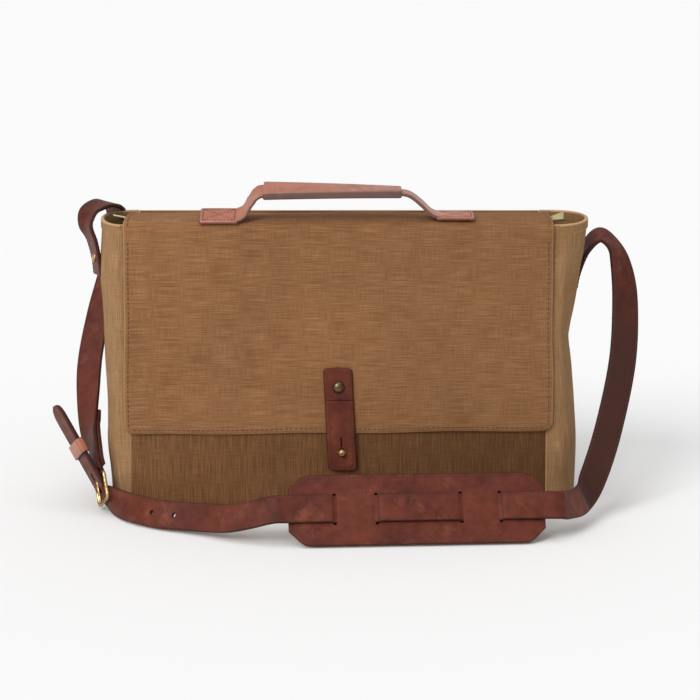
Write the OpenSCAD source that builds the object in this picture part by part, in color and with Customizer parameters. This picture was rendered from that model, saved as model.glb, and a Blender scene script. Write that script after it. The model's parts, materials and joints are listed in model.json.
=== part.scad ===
// Messenger bag, millimetres. +Z is up, +X to the right, -Y to the front.
// The origin is the centre of the base, on the surface that the bag stands on.

/* [Body] */
// Width of the front and back panels between their side seams
panel_w = 356; // [340:1:380]
// Height of the body to its rim
body_h = 249; // [235:1:250]
// Depth of the base
base_d = 104; // [96:1:110]
// How far the front panel leans back between base and rim
front_lean = 38; // [30:1:42]
// Thickness of the canvas
canvas_t = 2; // [1.4:0.1:2.2]

/* [Flap] */
// Width of the flap
flap_w = 365; // [350:1:366]
// Height of the flap's lower edge above the floor
flap_low = 72; // [66:1:90]
// Thickness of the lined flap
flap_t = 2.2; // [1.6:0.1:2.4]

/* [Leather] */
// Thickness of the straps
strap_t = 3.4; // [2.6:0.1:3.6]
// Width of the shoulder strap
strap_w = 24; // [20:1:24]
// Width of the handle and the closure tab
tab_w = 25; // [20:1:26]

/* [Shoulder pad] */
// Length of the pad
pad_l = 211; // [190:1:212]
// Height of the pad
pad_h = 62; // [52:1:64]

/* [Hidden] */

sew = 0.1; // gap between pieces sewn to each other
fit = 0.45; // gap between pieces that move past each other
back_y = base_d / 2;
base_t = 2.5;
rim_z = body_h;
half_w = panel_w / 2;

// Outermost x of each gusset, by height
LEFT_SIDE = [[0, 198], [30, 200.5], [57, 203.5], [93, 203], [130, 205], [174, 206], [198, 208], [249, 205]];
RIGHT_SIDE = [[0, 208], [57, 209], [93, 207], [130, 203], [150, 199.5], [174, 204], [205, 210], [228, 216], [249, 216]];
HEIGHTS = [2.6, 30, 57, 93, 130, 150, 174, 205, 228, 249];
ARC_STEPS = 14;

// Colours
canvas_brown = [0.58, 0.44, 0.29];
canvas_dark = [0.46, 0.33, 0.22];
leather_red = [0.40, 0.20, 0.14];
leather_tan = [0.66, 0.36, 0.24];
brass = [0.72, 0.58, 0.32];
lining = [0.62, 0.56, 0.40];

front_rim = 244.5; // the front panel's top
back_rim = 244.8; // the back panel's top
function front_y(z) = -base_d / 2 + front_lean * z / rim_z;

// Half an oval from the front seam round to the back seam, at height z
function arc_point(z, side, reach, wall, a) =
  let (y0 = front_y(z), mid = (back_y + y0) / 2, half = (back_y - y0) / 2 - wall)
  [side * (half_w + (reach - half_w - wall) * pow(sin(a), 0.7)), mid - half * cos(a), z];

function reach_at(z, side) = side < 0 ? lookup(z, LEFT_SIDE) : lookup(z, RIGHT_SIDE);

// ---- Swept leather ----------------------------------------------------

// Catmull-Rom value between b and c
function curve(a, b, c, d, t) =
  0.5 * (2 * b + (c - a) * t + (2 * a - 5 * b + 4 * c - d) * t * t + (3 * b - a - 3 * c + d) * t * t * t);

function smooth(rows, steps) = [
  for (i = [0 : len(rows) - 2], s = [0 : steps - 1])
    curve(rows[max(i - 1, 0)], rows[i], rows[i + 1], rows[min(i + 2, len(rows) - 1)], s / steps),
  rows[len(rows) - 1]
];

function at(row) = [row[0], row[1], row[2]];
function across(row) = [row[3], row[4], row[5]];
function unit(v) = v / norm(v);

// A flat strap: each row is a point of its centre line and the direction of its width
module ribbon(rows, w, t, steps = 4) {
  r = smooth(rows, steps);
  n = len(r);
  rings = [
    for (i = [0 : n - 1])
      let (
        along = unit(at(r[min(i + 1, n - 1)]) - at(r[max(i - 1, 0)])),
        side0 = across(r[i]),
        side = unit(side0 - along * (side0 * along)),
        face = cross(along, side),
        p = at(r[i])
      )
      each [
        p - side * w / 2 - face * t / 2, p + side * w / 2 - face * t / 2,
        p + side * w / 2 + face * t / 2, p - side * w / 2 + face * t / 2
      ]
  ];
  walls = [for (i = [0 : n - 2], k = [0 : 3])
    [i * 4 + k, i * 4 + (k + 1) % 4, (i + 1) * 4 + (k + 1) % 4, (i + 1) * 4 + k]];
  last = (n - 1) * 4;
  polyhedron(rings, concat([[3, 2, 1, 0]], walls, [[last, last + 1, last + 2, last + 3]]), convexity = 6);
}

// An outline in Y and Z, carried w along X
module across_x(w, x = 0) {
  translate([x - w / 2, 0, 0]) rotate([90, 0, 90]) linear_extrude(w) children();
}

// A band of thickness t whose inner face follows the points of line
module band(line, t) {
  polygon(concat(line, [for (i = [len(line) - 1 : -1 : 0]) line[i] + t * out_from(line, i)]));
}

// Unit normal of a line of points, to the right of its direction
function out_from(line, i) =
  let (d = unit(line[min(i + 1, len(line) - 1)] - line[max(i - 1, 0)])) [d[1], -d[0]];

// ---- Body ----------------------------------------------------------------

module front_panel() {
  color(canvas_dark) across_x(panel_w - 2 * sew)
    polygon([
      [front_y(base_t + sew), base_t + sew], [front_y(front_rim), front_rim],
      [front_y(front_rim) + canvas_t, front_rim], [front_y(base_t + sew) + canvas_t, base_t + sew]
    ]);
}

module back_panel() {
  color(canvas_brown) across_x(panel_w - 2 * sew)
    translate([back_y - canvas_t, base_t + sew]) square([canvas_t, back_rim - base_t - sew]);
}

module base_panel() {
  outline = [
    for (side = [-1, 1], i = [0 : ARC_STEPS])
      let (p = arc_point(0, side, reach_at(0, side), 0, (side < 0 ? 180 - i * 180 / ARC_STEPS : i * 180 / ARC_STEPS)))
      [p[0], p[1]]
  ];
  color(canvas_dark) linear_extrude(base_t) polygon(outline);
}

// The rim of a side wall rises from the front panel's top to its own height at the back
function rim_share(a) = 1 - (rim_z - front_rim) / rim_z * pow((1 + cos(a)) / 2, 2);

// A soft side wall: an outer and an inner skin of points, closed along every edge
module gusset(side) {
  rows = len(HEIGHTS);
  cols = ARC_STEPS + 1;
  skin = [for (wall = [0, canvas_t], z = HEIGHTS, i = [0 : ARC_STEPS])
    let (a = i * 180 / ARC_STEPS, h = z < 3 ? z : z * rim_share(a))
      arc_point(h, side, reach_at(z, side), wall, a) + [side * sew, 0, 0]];
  half = rows * cols;
  outer = [for (r = [0 : rows - 2], c = [0 : cols - 2])
    [r * cols + c, r * cols + c + 1, (r + 1) * cols + c + 1, (r + 1) * cols + c]];
  inner = [for (f = outer) [for (k = [3 : -1 : 0]) f[k] + half]];
  top = (rows - 1) * cols;
  edge = concat(
    [for (c = [0 : cols - 2]) [c, c + half, c + 1 + half, c + 1]],
    [for (c = [0 : cols - 2]) [top + c + 1, top + c + 1 + half, top + c + half, top + c]],
    [for (r = [0 : rows - 2]) [(r + 1) * cols, (r + 1) * cols + half, r * cols + half, r * cols]],
    [for (r = [0 : rows - 2]) let (c = cols - 1)
      [r * cols + c, r * cols + c + half, (r + 1) * cols + c + half, (r + 1) * cols + c]]
  );
  faces = concat(outer, inner, edge);
  polyhedron(skin, side < 0 ? faces : [for (f = faces) [f[3], f[2], f[1], f[0]]], convexity = 8);
}

module left_gusset() { color(canvas_brown) gusset(-1); }
module right_gusset() { color(canvas_brown) gusset(1); }

// ---- Zip, open, just under the rim ------------------------------------------

strip_w = 13; // width of the canvas strip that carries each zip tape
strip_len = 340;
strip_z = rim_z - 6.4;
strip_front_y = front_y(strip_z + 1.6) + canvas_t + 2 * sew;
strip_back_y = back_y - canvas_t - sew;
tooth_pitch = 8;
end_y = 17; // where both tapes meet past the ends of the mouth

module strip(y0) {
  translate([-strip_len / 2, y0, strip_z]) cube([strip_len, strip_w, 1.6]);
}

module teeth(y0) {
  for (i = [0 : floor(strip_len / tooth_pitch) - 1])
    translate([-strip_len / 2 + 3 + i * tooth_pitch, y0, strip_z - 0.4]) cube([tooth_pitch / 2, 2.4, 2.4]);
  translate([-strip_len / 2 + 2, y0 + 0.7, strip_z]) cube([strip_len - 4, 1, 1.6]);
}

module zip_strip_front() { color(lining) strip(strip_front_y); }
module zip_strip_back() { color(lining) strip(strip_back_y - strip_w); }
module zip_teeth_front() { color(brass) teeth(strip_front_y + strip_w + sew); }
module zip_teeth_back() { color(brass) teeth(strip_back_y - strip_w - sew - 2.4); }

module zip_end(side) {
  reach = 24;
  y0 = strip_front_y + 1;
  y1 = strip_back_y - 1;
  translate([0, 0, strip_z])
    linear_extrude(1.6)
      polygon([
        [side * (strip_len / 2 + sew), y0], [side * (strip_len / 2 + 6), y0],
        [side * (strip_len / 2 + reach), end_y - 5], [side * (strip_len / 2 + reach), end_y + 5],
        [side * (strip_len / 2 + 6), y1], [side * (strip_len / 2 + sew), y1]
      ]);
}

module zip_end_left() { color(lining) zip_end(-1); }
module zip_end_right() { color(lining) zip_end(1); }

slider_x = -strip_len / 2 + 12;
slider_y = strip_back_y - strip_w - sew - 2.4 - 3.4;

// The slider sits beside the last teeth of the back row, its bridge towards the mouth
module zip_slider() {
  color(brass) translate([slider_x, slider_y, strip_z - 0.4]) {
    translate([-5, -2.6, 0]) cube([10, 5.8, 2.4]);
    translate([-3.2, -1.4, 2.3]) cube([1.2, 3.6, 0.9]);
    translate([2, -1.4, 2.3]) cube([1.2, 3.6, 0.9]);
  }
}

// The pull hangs from the slider's inner edge, down into the mouth
module zip_pull() {
  color(brass) translate([slider_x, slider_y - 2.6 - 1.2, 0]) {
    translate([-2.6, -0.7, strip_z - 24]) cube([5.2, 1.4, 24]);
  }
}

// ---- Laptop sleeve ------------------------------------------------------------

sleeve_t = 6;
sleeve_y = 20;

module laptop_sleeve() {
  color(lining) translate([-half_w + 6, sleeve_y, base_t + sew]) cube([panel_w - 12, sleeve_t, 215]);
}

// ---- Closure: a ball stud, and a tab that buttons onto it ----------------------

closure_x = 3;
stud_z = 53;
stud_r = 3.25;
tab_top_z = 124;
tab_split_z = 96;
tab_low_z = 38;
lean_angle = atan(front_lean / rim_z);
flap_gap = 0.9; // between the body and the flap
flap_skin = flap_gap + flap_t; // from the front panel to the flap's outer face
anchor_t = 2.8;
tab_off = flap_skin + 0.5; // from the front panel to the tab's inner face
tab_t = 2.8;
ball_off = tab_off + tab_t + 2; // from the front panel to the ball's centre

// Puts children on the front panel at height z: x right, y out of the face, z up the face
module on_front(z, x = closure_x) {
  translate([x, front_y(z), z]) rotate([-lean_angle, 0, 0]) mirror([0, 1, 0]) children();
}

module closure_stud() {
  color(brass) on_front(stud_z) rotate([-90, 0, 0]) {
    translate([0, 0, sew]) cylinder(h = 1.2, d = 9, $fn = 32);
    translate([0, 0, sew]) cylinder(h = ball_off, d = 3.4, $fn = 24);
    translate([0, 0, ball_off]) sphere(r = stud_r, $fn = 32);
  }
}

module stud_washer() {
  color(brass) on_front(stud_z) rotate([-90, 0, 0])
    translate([0, 0, -canvas_t - 1.3]) cylinder(h = 1.1, d = 10, $fn = 32);
}

module tab_plate(z0, z1, off, t) {
  x0 = closure_x - tab_w / 2;
  across_x(tab_w, closure_x)
    polygon([[front_y(z0) - off, z0], [front_y(z1) - off, z1], [front_y(z1) - off - t, z1], [front_y(z0) - off - t, z0]]);
}

module closure_anchor() {
  color(leather_red) tab_plate(tab_split_z + 0.8, tab_top_z, flap_skin + sew, anchor_t);
}

module closure_rivet() {
  color(brass) on_front(108) rotate([-90, 0, 0])
    translate([0, 0, flap_skin + anchor_t + 2 * sew]) intersection() {
      translate([0, 0, -3.6]) sphere(d = 11.6, $fn = 40);
      cylinder(h = 4, d = 9, $fn = 40);
    }
}

module closure_tab() {
  color(leather_red) difference() {
    tab_plate(tab_low_z, tab_split_z - 0.8, tab_off, tab_t);
    on_front(stud_z) hull() {
      translate([0, tab_off + tab_t / 2, 0]) rotate([-90, 0, 0]) cylinder(h = 12, d = 7.6, center = true, $fn = 32);
      translate([0, tab_off + tab_t / 2, -3.6]) rotate([-90, 0, 0]) cylinder(h = 12, d = 7.6, center = true, $fn = 32);
    }
  }
}

// ---- Flap -----------------------------------------------------------------------

// Inner face of the flap over the mouth, from the back seam to the front shoulder
FLAP_LINE = [
  [49, 245.6], [40, 246.9], [28, 247.8], [16, 248.2], [6, 248.1], [-3, 247.6], [-9, 247.0], [-13.6, 246.1],
  [-16.6, 243.6], [-17.6, 239.8]
];
fold_z = 236.6;
flap_front_top = fold_z - 1.6;

module flap_top() {
  color(canvas_brown) across_x(flap_w) band([for (i = [len(FLAP_LINE) - 1 : -1 : 0]) FLAP_LINE[i]], -flap_t);
}

module flap_front() {
  color(canvas_brown) across_x(flap_w)
    polygon([
      [front_y(flap_low) - flap_gap, flap_low], [front_y(flap_front_top) - flap_gap, flap_front_top],
      [front_y(flap_front_top) - flap_skin, flap_front_top], [front_y(flap_low) - flap_skin, flap_low]
    ]);
}

// ---- Handle -----------------------------------------------------------------------

foot_len = 33;
foot_x = [-102, 100];
foot_tilt = [22, 6]; // the left end is sewn further over the shoulder than the right one
foot_y = [-8, -5];
foot_z = [250.1, 249.9];
foot_t = 3;
handle_y = -7;
sleeve_x0 = -64;
sleeve_x1 = 54;
grip_z = 273;
riser_z = 258.3; // where the handle leaves its feet

// Puts children on the flap's shoulder, where each end of the handle is sewn
module on_shoulder(i) {
  translate([foot_x[i], foot_y[i], foot_z[i]]) rotate([foot_tilt[i], 0, 0]) children();
}

module handle_feet() {
  color(leather_tan) for (i = [0, 1])
    on_shoulder(i) translate([-foot_len / 2, -tab_w / 2, 0.8]) cube([foot_len, tab_w, foot_t]);
}

// The raised part of the handle, from the inner end of one foot to that of the other
module handle_strap() {
  y = handle_y;
  left = [0, cos(foot_tilt[0]), sin(foot_tilt[0])];
  right = [0, cos(foot_tilt[1]), sin(foot_tilt[1])];
  flat = [0, 1, 0];
  rows = [
    [each [-84.5, y, riser_z + 0.8], each left], [each [-79, y, riser_z + 3.5], each left],
    [each [-71, y, grip_z - 2.5], each flat], [each [-62, y, grip_z], each flat], [each [-5, y, grip_z], each flat],
    [each [52, y, grip_z], each flat], [each [62, y, grip_z - 2], each flat],
    [each [75, y, riser_z + 3], each right], [each [82.5, y, riser_z], each right]
  ];
  color(leather_tan) ribbon(rows, tab_w - 3, 2.6, 4);
}

module grip_sleeve() {
  len = sleeve_x1 - sleeve_x0;
  color(leather_tan) translate([sleeve_x0, handle_y, grip_z]) rotate([90, 0, 90]) difference() {
    linear_extrude(len) offset(r = 4, $fn = 24) square([tab_w - 8 + 1.6, 2.2], center = true);
    translate([0, 0, -1]) linear_extrude(len + 2) square([tab_w - 2.6, 3.2], center = true);
  }
}

// ---- Shoulder pad --------------------------------------------------------------------

pad_centre = [64.7, -127.8, 27.7];
pad_yaw = 3.4;
pad_lean = 38;
pad_t = 2.6;
lining_t = 2;
slot_x = [-66.7, -33.5, 37, 68.2]; // along the pad, from its middle
chamfer = 13;

// Puts children in the pad's own frame: x along it, z up its face, -y out of its face
module on_pad() {
  translate(pad_centre) rotate([0, 0, pad_yaw]) rotate([-pad_lean, 0, 0]) children();
}

module pad_outline(inset = 0) {
  l = pad_l / 2 - inset;
  h = pad_h / 2 - inset;
  polygon([
    [-l, -h + chamfer], [-l + chamfer, -h], [l - chamfer, -h], [l, -h + chamfer],
    [l, h - chamfer], [l - chamfer, h], [-l + chamfer, h], [-l, h - chamfer]
  ]);
}

module pad_plate(y0, t, inset = 0) {
  translate([0, y0, 0]) rotate([90, 0, 0]) translate([0, 0, -t]) linear_extrude(t) pad_outline(inset);
}

strap_face = strap_t / 2 + fit; // half the room that the strap takes in the pad
pad_back = strap_face; // the leather starts behind the strap

module shoulder_pad() {
  color(leather_red) on_pad() {
    difference() {
      pad_plate(pad_back, pad_t);
      for (i = [0, 2])
        translate([slot_x[i], 0, -strap_w / 2 - 1.4]) cube([slot_x[i + 1] - slot_x[i], 20, strap_w + 2.8]);
    }
    for (i = [0, 2]) bridge(slot_x[i], slot_x[i + 1]);
  }
}

// The part of the leather between two slots, raised over the strap
module bridge(x0, x1) {
  w = strap_w / 2;
  y_out = -strap_face - pad_t;
  translate([x0, 0, 0]) rotate([90, 0, 90]) linear_extrude(x1 - x0)
    polygon([
      [pad_back + pad_t, w + 5], [pad_back, w + 5], [y_out, w - 0.5], [y_out, -w + 0.5], [pad_back, -w - 5],
      [pad_back + pad_t, -w - 5], [pad_back + pad_t, -w - 1.4], [-strap_face, -w - 0.6 + 0.2],
      [-strap_face, w + 0.4], [pad_back + pad_t, w + 1.4]
    ]);
}

module pad_lining() {
  color(lining) on_pad() pad_plate(pad_back + pad_t + sew, lining_t, 1.5);
}

// ---- Shoulder strap -------------------------------------------------------------------

pad_dir = [cos(pad_yaw), sin(pad_yaw), 0];
pad_up = [-sin(pad_yaw) * sin(pad_lean), cos(pad_yaw) * sin(pad_lean), cos(pad_lean)];

function pad_point(x) = pad_centre + x * pad_dir;

// The straight stretch that runs up through the buckle to the strap's free end
buckle_at = [-204, -45, 20.5];
tail_dir = unit([-41, 23, 66]);
tail_lean = [0.42, -0.82, 0.36];
tail_side = unit(tail_lean - tail_dir * (tail_lean * tail_dir));
tail_back = cross(tail_dir, tail_side);
tail_len = 83;
tail_root = 10;

function tail(d, back = 0) = buckle_at + d * tail_dir + back * tail_back;

// From the right gusset, over and down, along the floor through the pad, and up to its free end
LONG_ROUTE = [
  [208.6, 30, 176, 0, 1, 0], [211.5, 30, 198, 0, 1, 0], [218.6, 31, 221, 0, 1, 0],
  [229, 32, 233, 0, 1, 0], [241, 30, 225, 0.3, 0.9, 0], [248, 25, 205, 0.75, 0.6, 0], [251.5, 17, 173, 0.95, 0.3, 0],
  [247.5, -4, 123, 1, 0.1, -0.1], [232, -34, 67, 0.9, -0.1, -0.4], [215, -64, 31, 0.45, -0.4, -0.75],
  [203, -93, 24, 0.1, -0.6, -0.8], [190, -113, 26, 0, -0.6, -0.8],
  [each pad_point(118), each -pad_up], [each pad_point(108), each -pad_up], [each pad_point(50), each -pad_up], [each pad_point(0), each -pad_up],
  [each pad_point(-50), each -pad_up], [each pad_point(-108), each -pad_up],
  [each pad_point(-118), each -pad_up], [-72, -131, 22.5, 0, -0.6, -0.8], [-90, -124, 17.5, 0, -0.55, -0.84],
  [-108, -114, 15, 0, -0.5, -0.87], [-128, -104, 13.5, 0, -0.5, -0.87], [-150, -94, 12.8, 0, -0.5, -0.87],
  [-172, -78, 12.8, -0.3, -0.3, -0.85], [-187, -62, 13, -0.4, 0.2, -0.8]
];

module long_strap() {
  color(leather_red) ribbon(LONG_ROUTE, strap_w, strap_t, 3);
}

// The strap's free end, with a rounded tip and the slot that the buckle's tongue comes through
module strap_tail() {
  color(leather_red) on_tail() difference() {
    union() {
      translate([-strap_w / 2, -strap_t / 2, -tail_root + sew])
        cube([strap_w, strap_t, tail_len + tail_root - strap_w / 2 - sew]);
      translate([0, -strap_t / 2, tail_len - strap_w / 2])
        rotate([-90, 0, 0]) cylinder(h = strap_t, d = strap_w, $fn = 48);
    }
    translate([-2.3, -strap_t, -4]) cube([4.6, 2 * strap_t, 20]);
  }
}

// From the left gusset up, back over the rim, down behind the corner and round to the buckle
BUCKLE_ROUTE = [
  [-208.8, 12, 198, 0, 1, 0], [-210.6, 12, 213, 0, 1, 0], [-213.5, 12.5, 230, -0.05, 1, 0],
  [-219, 16, 246, -0.2, 1, 0.1], [-217, 26, 259, -0.4, 0.9, 0.15], [-207, 41, 264, -0.6, 0.8, 0.1],
  [-199, 57, 255, -0.75, 0.65, 0], [-199, 67, 230, -0.8, 0.6, 0], [-206, 70, 195, -0.85, 0.5, 0],
  [-217, 62, 155, -0.88, 0.45, 0], [-222.5, 38, 118, -0.85, 0.5, 0.1], [-221.5, 12, 90, -0.8, 0.6, -0.05],
  [-219, -8, 68, -0.62, 0.75, -0.2], [each tail(38, 13), each -tail_side], [each tail(24, 7), each -tail_side],
  [each tail(14, 4.2), each -tail_side]
];

module buckle_strap() {
  color(leather_red) ribbon(BUCKLE_ROUTE, strap_w, strap_t, 3);
}

// ---- Anchors of the strap ------------------------------------------------------------

module rivet_pair(offset, h, d) {
  translate([-210.6 - offset, 12, 213]) rotate([0, -90, 0]) cylinder(h = h, d = d, $fn = 28);
  translate([211.5 + offset, 30, 198]) rotate([0, 90, 0]) cylinder(h = h, d = d, $fn = 28);
}

module anchor_rivets() { color(brass) rivet_pair(strap_t / 2 + 1.3, 1.6, 8); }
module anchor_washers() { color(brass) rivet_pair(-strap_t / 2 - canvas_t - 6.5, 1.2, 9); }

// ---- Buckle: x across the strap, z up it, y behind it -------------------------------------

// Puts children in the frame of the strap's straight stretch, d along it from the buckle
module on_tail(d = 0) {
  p = tail(d);
  multmatrix([
    [tail_side[0], tail_back[0], tail_dir[0], p[0]],
    [tail_side[1], tail_back[1], tail_dir[1], p[1]],
    [tail_side[2], tail_back[2], tail_dir[2], p[2]],
    [0, 0, 0, 1]
  ]) children();
}

wire = 3;
frame_half_w = strap_w / 2 + 3.2; // from the strap's middle to the middle of each side bar
frame_half_l = 11.7;
frame_slant = 20; // how far the frame leans across the strap

// Puts children in the plane of the buckle's frame
module on_frame() {
  on_tail() rotate([-frame_slant, 0, 0]) children();
}

module buckle_frame() {
  color(brass) on_frame() difference() {
    translate([-frame_half_w - wire / 2, -wire / 2, -frame_half_l - wire / 2])
      cube([2 * frame_half_w + wire, wire, 2 * frame_half_l + wire]);
    translate([-frame_half_w + wire / 2, -wire, -frame_half_l + wire / 2])
      cube([2 * frame_half_w - wire, 2 * wire, 2 * frame_half_l - wire]);
  }
}

tongue_d = 2.4;
tongue_gap = wire / 2 + tongue_d / 2 + fit;

// The tongue turns about the upper bar and rests across the front of the lower one
module buckle_tongue() {
  color(brass) on_frame() translate([0, -tongue_gap, -frame_half_l - 1.5])
    cylinder(h = 2 * frame_half_l + 1.5, d = tongue_d, $fn = 20);
}

keeper_at = 40;
keeper_h = 13;
keeper_t = 1.8;

module strap_keeper() {
  w = strap_w + 2 * fit;
  t = strap_t + 2 * fit;
  color(leather_tan) on_tail(keeper_at) difference() {
    translate([-w / 2 - keeper_t, -t / 2 - keeper_t, -keeper_h / 2]) cube([w + 2 * keeper_t, t + 2 * keeper_t, keeper_h]);
    translate([-w / 2, -t / 2, -keeper_h]) cube([w, t, 2 * keeper_h]);
  }
}

// ---- Drawing ---------------------------------------------------------------------------

front_panel();
back_panel();
base_panel();
left_gusset();
right_gusset();
zip_strip_front();
zip_strip_back();
zip_teeth_front();
zip_teeth_back();
zip_end_left();
zip_end_right();
zip_slider();
zip_pull();
laptop_sleeve();
closure_stud();
stud_washer();
anchor_rivets();
anchor_washers();
long_strap();
strap_tail();
buckle_strap();
buckle_frame();
buckle_tongue();
strap_keeper();
shoulder_pad();
pad_lining();
flap_top();
flap_front();
handle_feet();
closure_anchor();
closure_rivet();
closure_tab();
handle_strap();
grip_sleeve();
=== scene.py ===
# %% [markdown]
# # A waxed canvas messenger bag with leather trim
# The CAD frame already fixes where every part is and what it turns on. This lesson dresses that frame:
# canvas panels become thin curved sheets, leather straps become bands with soft edges and real stitches,
# and the brass is turned on a lathe. Every new piece is a surface worked out with numpy, so its shape can
# be read in one line.

# %% Load the frame
import json
import math
import bpy
import numpy as np
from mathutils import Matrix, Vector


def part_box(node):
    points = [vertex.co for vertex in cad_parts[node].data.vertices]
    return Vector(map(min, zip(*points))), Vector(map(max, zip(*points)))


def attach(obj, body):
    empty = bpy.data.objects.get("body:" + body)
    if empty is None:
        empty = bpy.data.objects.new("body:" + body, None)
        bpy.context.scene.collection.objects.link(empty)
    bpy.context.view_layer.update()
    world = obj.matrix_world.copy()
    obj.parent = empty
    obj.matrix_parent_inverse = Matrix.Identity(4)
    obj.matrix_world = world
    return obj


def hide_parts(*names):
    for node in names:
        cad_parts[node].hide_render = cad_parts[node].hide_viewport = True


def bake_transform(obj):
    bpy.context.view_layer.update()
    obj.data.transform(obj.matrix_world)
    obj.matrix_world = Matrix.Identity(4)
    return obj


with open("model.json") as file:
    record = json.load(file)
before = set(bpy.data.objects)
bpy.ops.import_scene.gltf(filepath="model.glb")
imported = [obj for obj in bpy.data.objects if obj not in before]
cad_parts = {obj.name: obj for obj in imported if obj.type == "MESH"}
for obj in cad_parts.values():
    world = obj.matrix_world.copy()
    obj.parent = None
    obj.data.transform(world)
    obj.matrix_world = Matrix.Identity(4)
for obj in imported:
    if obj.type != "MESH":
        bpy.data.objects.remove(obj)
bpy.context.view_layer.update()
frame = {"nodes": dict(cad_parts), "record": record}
MM = 0.001

# %% [markdown]
# ## The bag's own measures
# The body leans back from a deep base to a shallower rim. These few lengths, in millimetres, come back in
# nearly every piece. The panels' edges are read from the frame, so they agree with the CAD to the last
# digit. NO_RIM is a distance in metres that is too far from any cut edge to show wear.

# %% Driving lengths
PANEL_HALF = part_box("front_panel")[1][0] / MM
FRONT_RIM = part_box("front_panel")[1][2] / MM
BACK_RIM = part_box("back_panel")[1][2] / MM
RIM_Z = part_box("left_gusset")[1][2] / MM
FLAP_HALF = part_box("flap_front")[1][0] / MM
FLAP_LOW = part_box("flap_front")[0][2] / MM
BASE_HALF_D = 52.0
LEAN = 38.0
LEAN_OVER = 249.0
CANVAS_T = 2.0
STRAP_W = 24.0
STRAP_T = 3.4
NO_RIM = 0.01


def front_y(z):
    """Where the front panel's face is at height z: a straight lean from the base to the rim."""
    return -BASE_HALF_D + LEAN * np.asarray(z, float) / LEAN_OVER


print("panel half width", round(PANEL_HALF, 1), "rim", round(RIM_Z, 1), "flap low", round(FLAP_LOW, 1))

# %% [markdown]
# ## Meshes from arrays
# One function puts any array of points and faces into a mesh. It measures the mesh's signed volume and
# turns the faces round if it is negative, so that they always point out. It also carries a UV map in
# metres and a point attribute called rim, the distance to the nearest cut edge, which the materials use
# for worn edges.


# %% Put arrays into a mesh
def signed_volume(points, faces):
    """Sum of the tetrahedra between the origin and each face, fanned from its first corner."""
    total = 0.0
    for size in {len(f) for f in faces}:
        f = np.array([g for g in faces if len(g) == size])
        for k in range(1, size - 1):
            a, b, c = points[f[:, 0]], points[f[:, k]], points[f[:, k + 1]]
            total += np.einsum("ij,ij->i", a, np.cross(b, c)).sum() / 6
    return total


def add_piece(name, points, faces, material, body, uv=None, rim=None, flesh_and_shade=None):
    """Makes a closed mesh from points in millimetres and rides it on a body."""
    points = np.asarray(points, float) * MM
    faces = [tuple(int(i) for i in f) for f in faces]
    if signed_volume(points - points.mean(0), faces) < 0:
        faces = [f[::-1] for f in faces]
    mesh = bpy.data.meshes.new(name)
    mesh.from_pydata(points.tolist(), [], faces)
    mesh.update()
    mesh.shade_smooth()
    for label, values in (("rim", rim), ("flesh_and_shade", flesh_and_shade)):
        data = np.zeros(len(points)) if values is None else np.asarray(values, float).ravel()
        mesh.attributes.new(label, "FLOAT", "POINT").data.foreach_set("value", data.astype(np.float32))
    if uv is not None:
        corners = np.zeros(len(mesh.loops), np.int32)
        mesh.loops.foreach_get("vertex_index", corners)
        layer = mesh.uv_layers.new(name="cloth")
        layer.data.foreach_set("uv", (np.asarray(uv, float)[corners] * MM).astype(np.float32).ravel())
    mesh.materials.append(material)
    piece = bpy.data.objects.new(name, mesh)
    bpy.context.collection.objects.link(piece)
    if body:
        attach(piece, body)
    return piece


def quads(rows, cols, wrap=False):
    """The quads of a grid of points, as indices, with the columns closed into a ring if wrap."""
    r, c = np.meshgrid(np.arange(rows - 1), np.arange(cols if wrap else cols - 1), indexing="ij")
    d = (c + 1) % cols
    return np.stack([r * cols + c, r * cols + d, (r + 1) * cols + d, (r + 1) * cols + c], -1).reshape(-1, 4)


# %% [markdown]
# ## Sheets
# Canvas and flat leather are sheets: a middle surface with a thickness. A Solidify modifier would leave
# square edges, so the sheet is built with one extra ring of points round its border, half a thickness
# out, that both faces share. That ring rounds the edge like a folded hem or a burnished leather edge.


# %% A sheet from its middle surface
BORDER_SHARE = 0.42


def unit(v):
    """Each vector divided by its length."""
    return v / np.maximum(np.linalg.norm(v, axis=-1, keepdims=True), 1e-9)


def lengths(points, axis):
    """Distance along a grid from its first row or column, averaged over the other direction."""
    steps = np.linalg.norm(np.diff(points, axis=axis), axis=-1).mean(axis=1 - axis)
    return np.concatenate([[0], np.cumsum(steps)])


def sheet_arrays(middle, wall, push=None):
    """Outer skin = middle + normal * wall / 2, inner skin = middle - normal * wall / 2, one shared border."""
    reach_out = wall * BORDER_SHARE
    grown = middle
    for axis in (0, 1):
        first, last = np.take(grown, [0], axis), np.take(grown, [-1], axis)
        before, after = np.take(grown, [1], axis), np.take(grown, [-2], axis)
        grown = np.concatenate([first + unit(first - before) * reach_out, grown,
                                last + unit(last - after) * reach_out], axis)
    rows, cols = grown.shape[:2]
    normal = push
    if push is None:
        normal = unit(np.cross(np.gradient(middle, axis=0), np.gradient(middle, axis=1)))
    outer = grown.copy()
    outer[1:-1, 1:-1] += normal * wall / 2
    inner = middle - normal * wall / 2
    ids = np.arange(rows * cols).reshape(rows, cols)
    under = ids.copy()
    under[1:-1, 1:-1] = rows * cols + np.arange((rows - 2) * (cols - 2)).reshape(rows - 2, cols - 2)
    f = quads(rows, cols)
    faces = np.concatenate([f, under.ravel()[f][:, ::-1]])
    u, v = lengths(grown, 0), lengths(grown, 1)
    uu, vv = np.meshgrid(u, v, indexing="ij")
    rim = np.minimum(np.minimum(uu, u[-1] - uu), np.minimum(vv, v[-1] - vv))
    points = np.concatenate([outer.reshape(-1, 3), inner.reshape(-1, 3)])
    uv = np.stack([uu, vv], -1)
    uv = np.concatenate([uv.reshape(-1, 2), uv[1:-1, 1:-1].reshape(-1, 2)])
    rim = np.concatenate([rim.ravel(), rim[1:-1, 1:-1].ravel()])
    return points, faces, uv, rim * MM


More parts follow.
